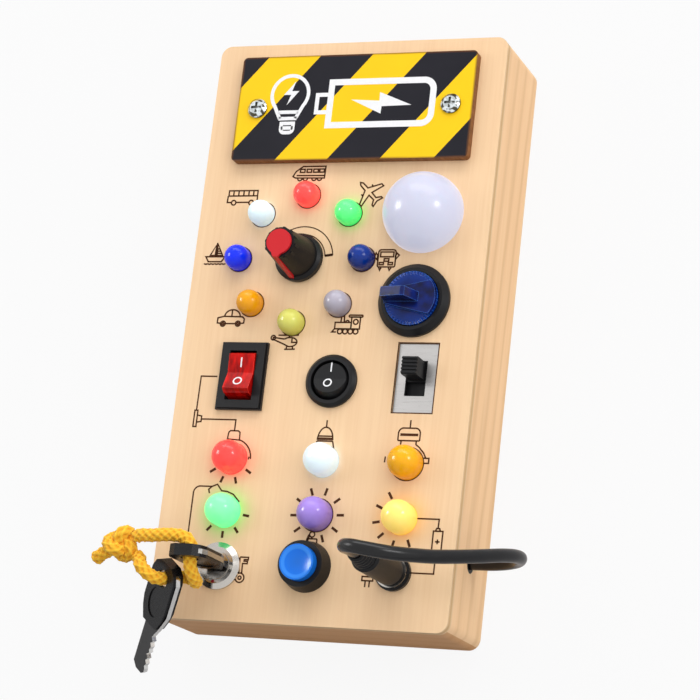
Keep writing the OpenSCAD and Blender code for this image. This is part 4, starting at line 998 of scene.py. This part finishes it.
# White pictures on the striped cover
bulbTop = arc(-20.8, 73.2, 6.1, -38, 218)[0]
bulb = [
    line(*np.vstack([[[-18.1, 65.2]], bulbTop, [[-23.4, 65.2]]]).ravel()), line(-23.9, 67.3, -17.5, 67.3),
    line(-23.7, 65.2, -17.7, 65.2), roundBar(-22.6, 60.6, -18.6, 63.6, (1.2, 0, 0, 1.2)),
    line(-22.6, 62.1, -18.6, 62.1)
]
flash = [loop(-19.3, 77.4, -22.9, 73, -20.5, 73, -21.6, 69.6, -17.9, 74.2, -20.3, 74.2)]
cell = [roundBar(-7.1, 62.7, 26.3, 76.7, (3.2, 3.2, 0, 0)), line(-8, 67, -11.5, 67, -11.5, 72.7, -8, 72.7)]
arrow = [loop(-0.2, 70.9, 9.1, 70.3, 9, 73.1, 19.7, 68.7, 10, 68.5, 9.9, 66.1)]
marks("coverPictures", bulb, "cover", "whitePrint", signZ, fills=flash + arrow, low=-0.05)
marks("coverPole", cell[1:], "pole", "whitePrint", signZ, low=-0.07, high=0.04)
marks("coverCell", cell[:1], "cell", "whitePrint", signZ, high=0.05)

# I and O on the rockers, each laid on its slope: its place across the rocker, and along it from the
# pivot, in mm; the size scales the bar's half length and the ring's radius
sign = dict(bar=1.5, ring=1.25)
switchMarks = dict(
    red=dict(
        body="red_rocker", node="rocker_frame", swing=22, dip=3.4, tilt=15.04, pivot=1,
        size=1.0, on=(0, 3.1), off=(0, -3.1),
    ),
    round=dict(
        body="round_rocker", node="round_frame", swing=18, dip=2.8, tilt=8.67, pivot=1,
        size=0.95, on=(0, 3.5), off=(-0.5, -1.4),
    ),
)
for name, m in switchMarks.items():
    x, y = middle(m["node"]).xy / mm
    size, tilt = m["size"], math.radians(m["tilt"])
    lean = Matrix.Rotation(math.radians(-m["swing"] / 2), 4, "X")
    shapes = dict(
        on=line(0, -sign["bar"] * size, 0, sign["bar"] * size),
        off=circle(0, 0, sign["ring"] * size),
    )
    for state, shape in shapes.items():
        across, along = m[state]
        lift = Matrix.Translation((0, along, m["dip"] + abs(along) * math.tan(tilt)))
        slope = lift @ Matrix.Rotation(math.copysign(tilt, along), 4, "X")
        place = Matrix.Translation((x + across, y, faceZ - m["pivot"])) @ lean @ slope
        marks(
            name + "Side" + state.title(), [shape], "switch", "whitePrint", 0, m["body"],
            place=place, low=-0.04, high=0.02, size=size,
        )
print("marks laid")


# ---- small pieces
# Turned shape: centre + r * (cos a, sin a) at height z, for each (r, z) of the profile
def turnedPiece(name, centre, profile, sides, body, look):
    p = np.asarray(profile, float)
    a = np.linspace(0, 2 * math.pi, sides, endpoint=False)
    ring = np.stack([np.cos(a), np.sin(a)], 1)
    flat = np.broadcast_to(centre, (len(p), sides, 2)) + p[:, None, :1] * ring[None]
    verts = np.concatenate([flat, np.broadcast_to(p[:, None, 1:], (len(p), sides, 1))], 2)
    faces = ringFaces(len(p), sides, True)[:, ::-1]
    return meshPiece(name, verts * mm, faces, body, looks[look])


# Lead's relief: a cone of five ribs with deep round gaps between them
relief = dict(ribs=5, deep=0.45, start=3.7, end=2.65, tall=7, bore=2.05, lap=0.05, rows=80, sides=48)
u = np.linspace(0, 1, relief["rows"])
gaps = np.abs(np.cos(math.pi * u * relief["ribs"])) ** 6
outer = relief["start"] + (relief["end"] - relief["start"]) * u - relief["deep"] * gaps
z = reliefTop - relief["tall"] + relief["lap"] + u * (relief["tall"] + 2 * relief["lap"])
profile = np.vstack([np.column_stack([outer, z]), [[relief["bore"], z[-1]], [relief["bore"], z[0]]]])
turnedPiece("plugRelief", jackAt, profile, relief["sides"], "plug", "blackMatte")

# Red dot on the lock's ring
dot = dict(r=0.55, tall=0.22, place=(-0.4, -4.88), sunk=0.05, root=-0.2, pole=0.004, rows=8, sides=24)
a = np.linspace(0, math.pi / 2, dot["rows"])
domed = np.column_stack([np.maximum(dot["r"] * np.cos(a), dot["pole"]), dot["tall"] * np.sin(a)])
profile = np.vstack([domed, [[dot["pole"], dot["root"]], [dot["r"], dot["root"]]]])
profile[:, 1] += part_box("lock_barrel")[1].z / mm - dot["sunk"]
turnedPiece("lockDot", lockAt + Vector(dot["place"]), profile, dot["sides"], "board", "dotRed")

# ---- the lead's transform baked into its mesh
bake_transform(leadPiece)
print("pieces done")


# ---- light, floor and background
# Softboxes: to the right, up and towards the camera from the target, in metres and watts
target = Vector((0.0, 0.0, 0.02))
right, up, back = (cam.rotation_euler.to_matrix().col[k] for k in range(3))
softboxes = dict(
    left=dict(to=(-0.92, 0.31, 0.19), far=1.0, size=(0.4, 0.4), watts=1.3),
    near=dict(to=(0.56, 0.37, 0.73), far=1.0, size=(0.4, 0.4), watts=1.0),
    top=dict(to=(0.0, 0.95, 0.3), far=1.0, size=(1.2, 0.4), watts=5.0),
    front=dict(to=(0.3, 0.05, 0.95), far=1.1, size=(0.9, 0.9), watts=2.3),
    leftShine=dict(to=(-0.92, 0.31, 0.19), far=1.0, size=(0.22, 0.22), watts=5.0),
    nearShine=dict(to=(0.56, 0.37, 0.73), far=1.0, size=(0.18, 0.18), watts=2.9),
)
for name, box in softboxes.items():
    light = bpy.data.lights.new(name + "Softbox", "AREA")
    light.shape = "RECTANGLE"
    light.size, light.size_y = box["size"]
    light.energy = box["watts"]
    lamp = bpy.data.objects.new(name + "Softbox", light)
    scene.collection.objects.link(lamp)
    way = (right * box["to"][0] + up * box["to"][1] + back * box["to"][2]).normalized()
    lamp.location = target + way * box["far"]
    lamp.rotation_euler = way.to_track_quat("Z", "Y").to_euler()
    lamp.visible_diffuse = "Shine" not in name
    lamp.visible_glossy = name != "front"

world = bpy.data.worlds.new("studio")
world.use_nodes = True
scene.world = world
tree = world.node_tree
backdrop = tree.nodes["Background"].inputs
setSocket(backdrop["Color"], (1, 1, 1))
paths = put(tree, "LightPath").outputs
seen = maths(tree, "MAXIMUM", paths["Is Camera Ray"], paths["Is Glossy Ray"])
seen = maths(tree, "MAXIMUM", seen, paths["Is Transmission Ray"])
# Diffuse light is weaker from below the board's lower edge, where its wall is in shade
sky = dict(brightFrom=(0.56, 0.50, 0.66), dimAt=-0.5, brightAt=1.0, dim=0.05, bright=1.0)
way = put(tree, "TexCoord").outputs["Generated"]
toward = vectors(tree, "DOT_PRODUCT", way, sky["brightFrom"], "Value")
soft = ramp(tree, toward, sky["dimAt"], sky["brightAt"], sky["dim"], sky["bright"])
tree.links.new(put(tree, "Mix", {0: seen, 2: soft, 3: 1.0}).outputs[0], backdrop["Strength"])

floorLook, tree, shader, spot = newMaterial("floorLook", Roughness=0.7, specular=0.2)
paint(tree, shader, mix(tree, noise(tree, spot, 8.0), (0.56, 0.56, 0.57), (0.60, 0.60, 0.61)))
white = put(tree, "Emission", {"Color": (1, 1, 1), "Strength": 1.0}).outputs[0]
shareWhite = times(tree, put(tree, "LightPath").outputs["Is Camera Ray"], 0.9)
seenFloor = put(tree, "MixShader", {0: shareWhite, 1: shader.outputs[0], 2: white}).outputs[0]
tree.links.new(seenFloor, tree.nodes["Material Output"].inputs["Surface"])
ground = dict(half=1.5, height=-0.0002)
square = np.array([[-1, -1], [1, -1], [1, 1], [-1, 1]]) * ground["half"]
corners = np.column_stack([square, np.full(4, ground["height"])])
floor = meshPiece("floor", corners, [[0, 1, 2, 3]], None, floorLook)
scene.view_settings.view_transform = "Standard"
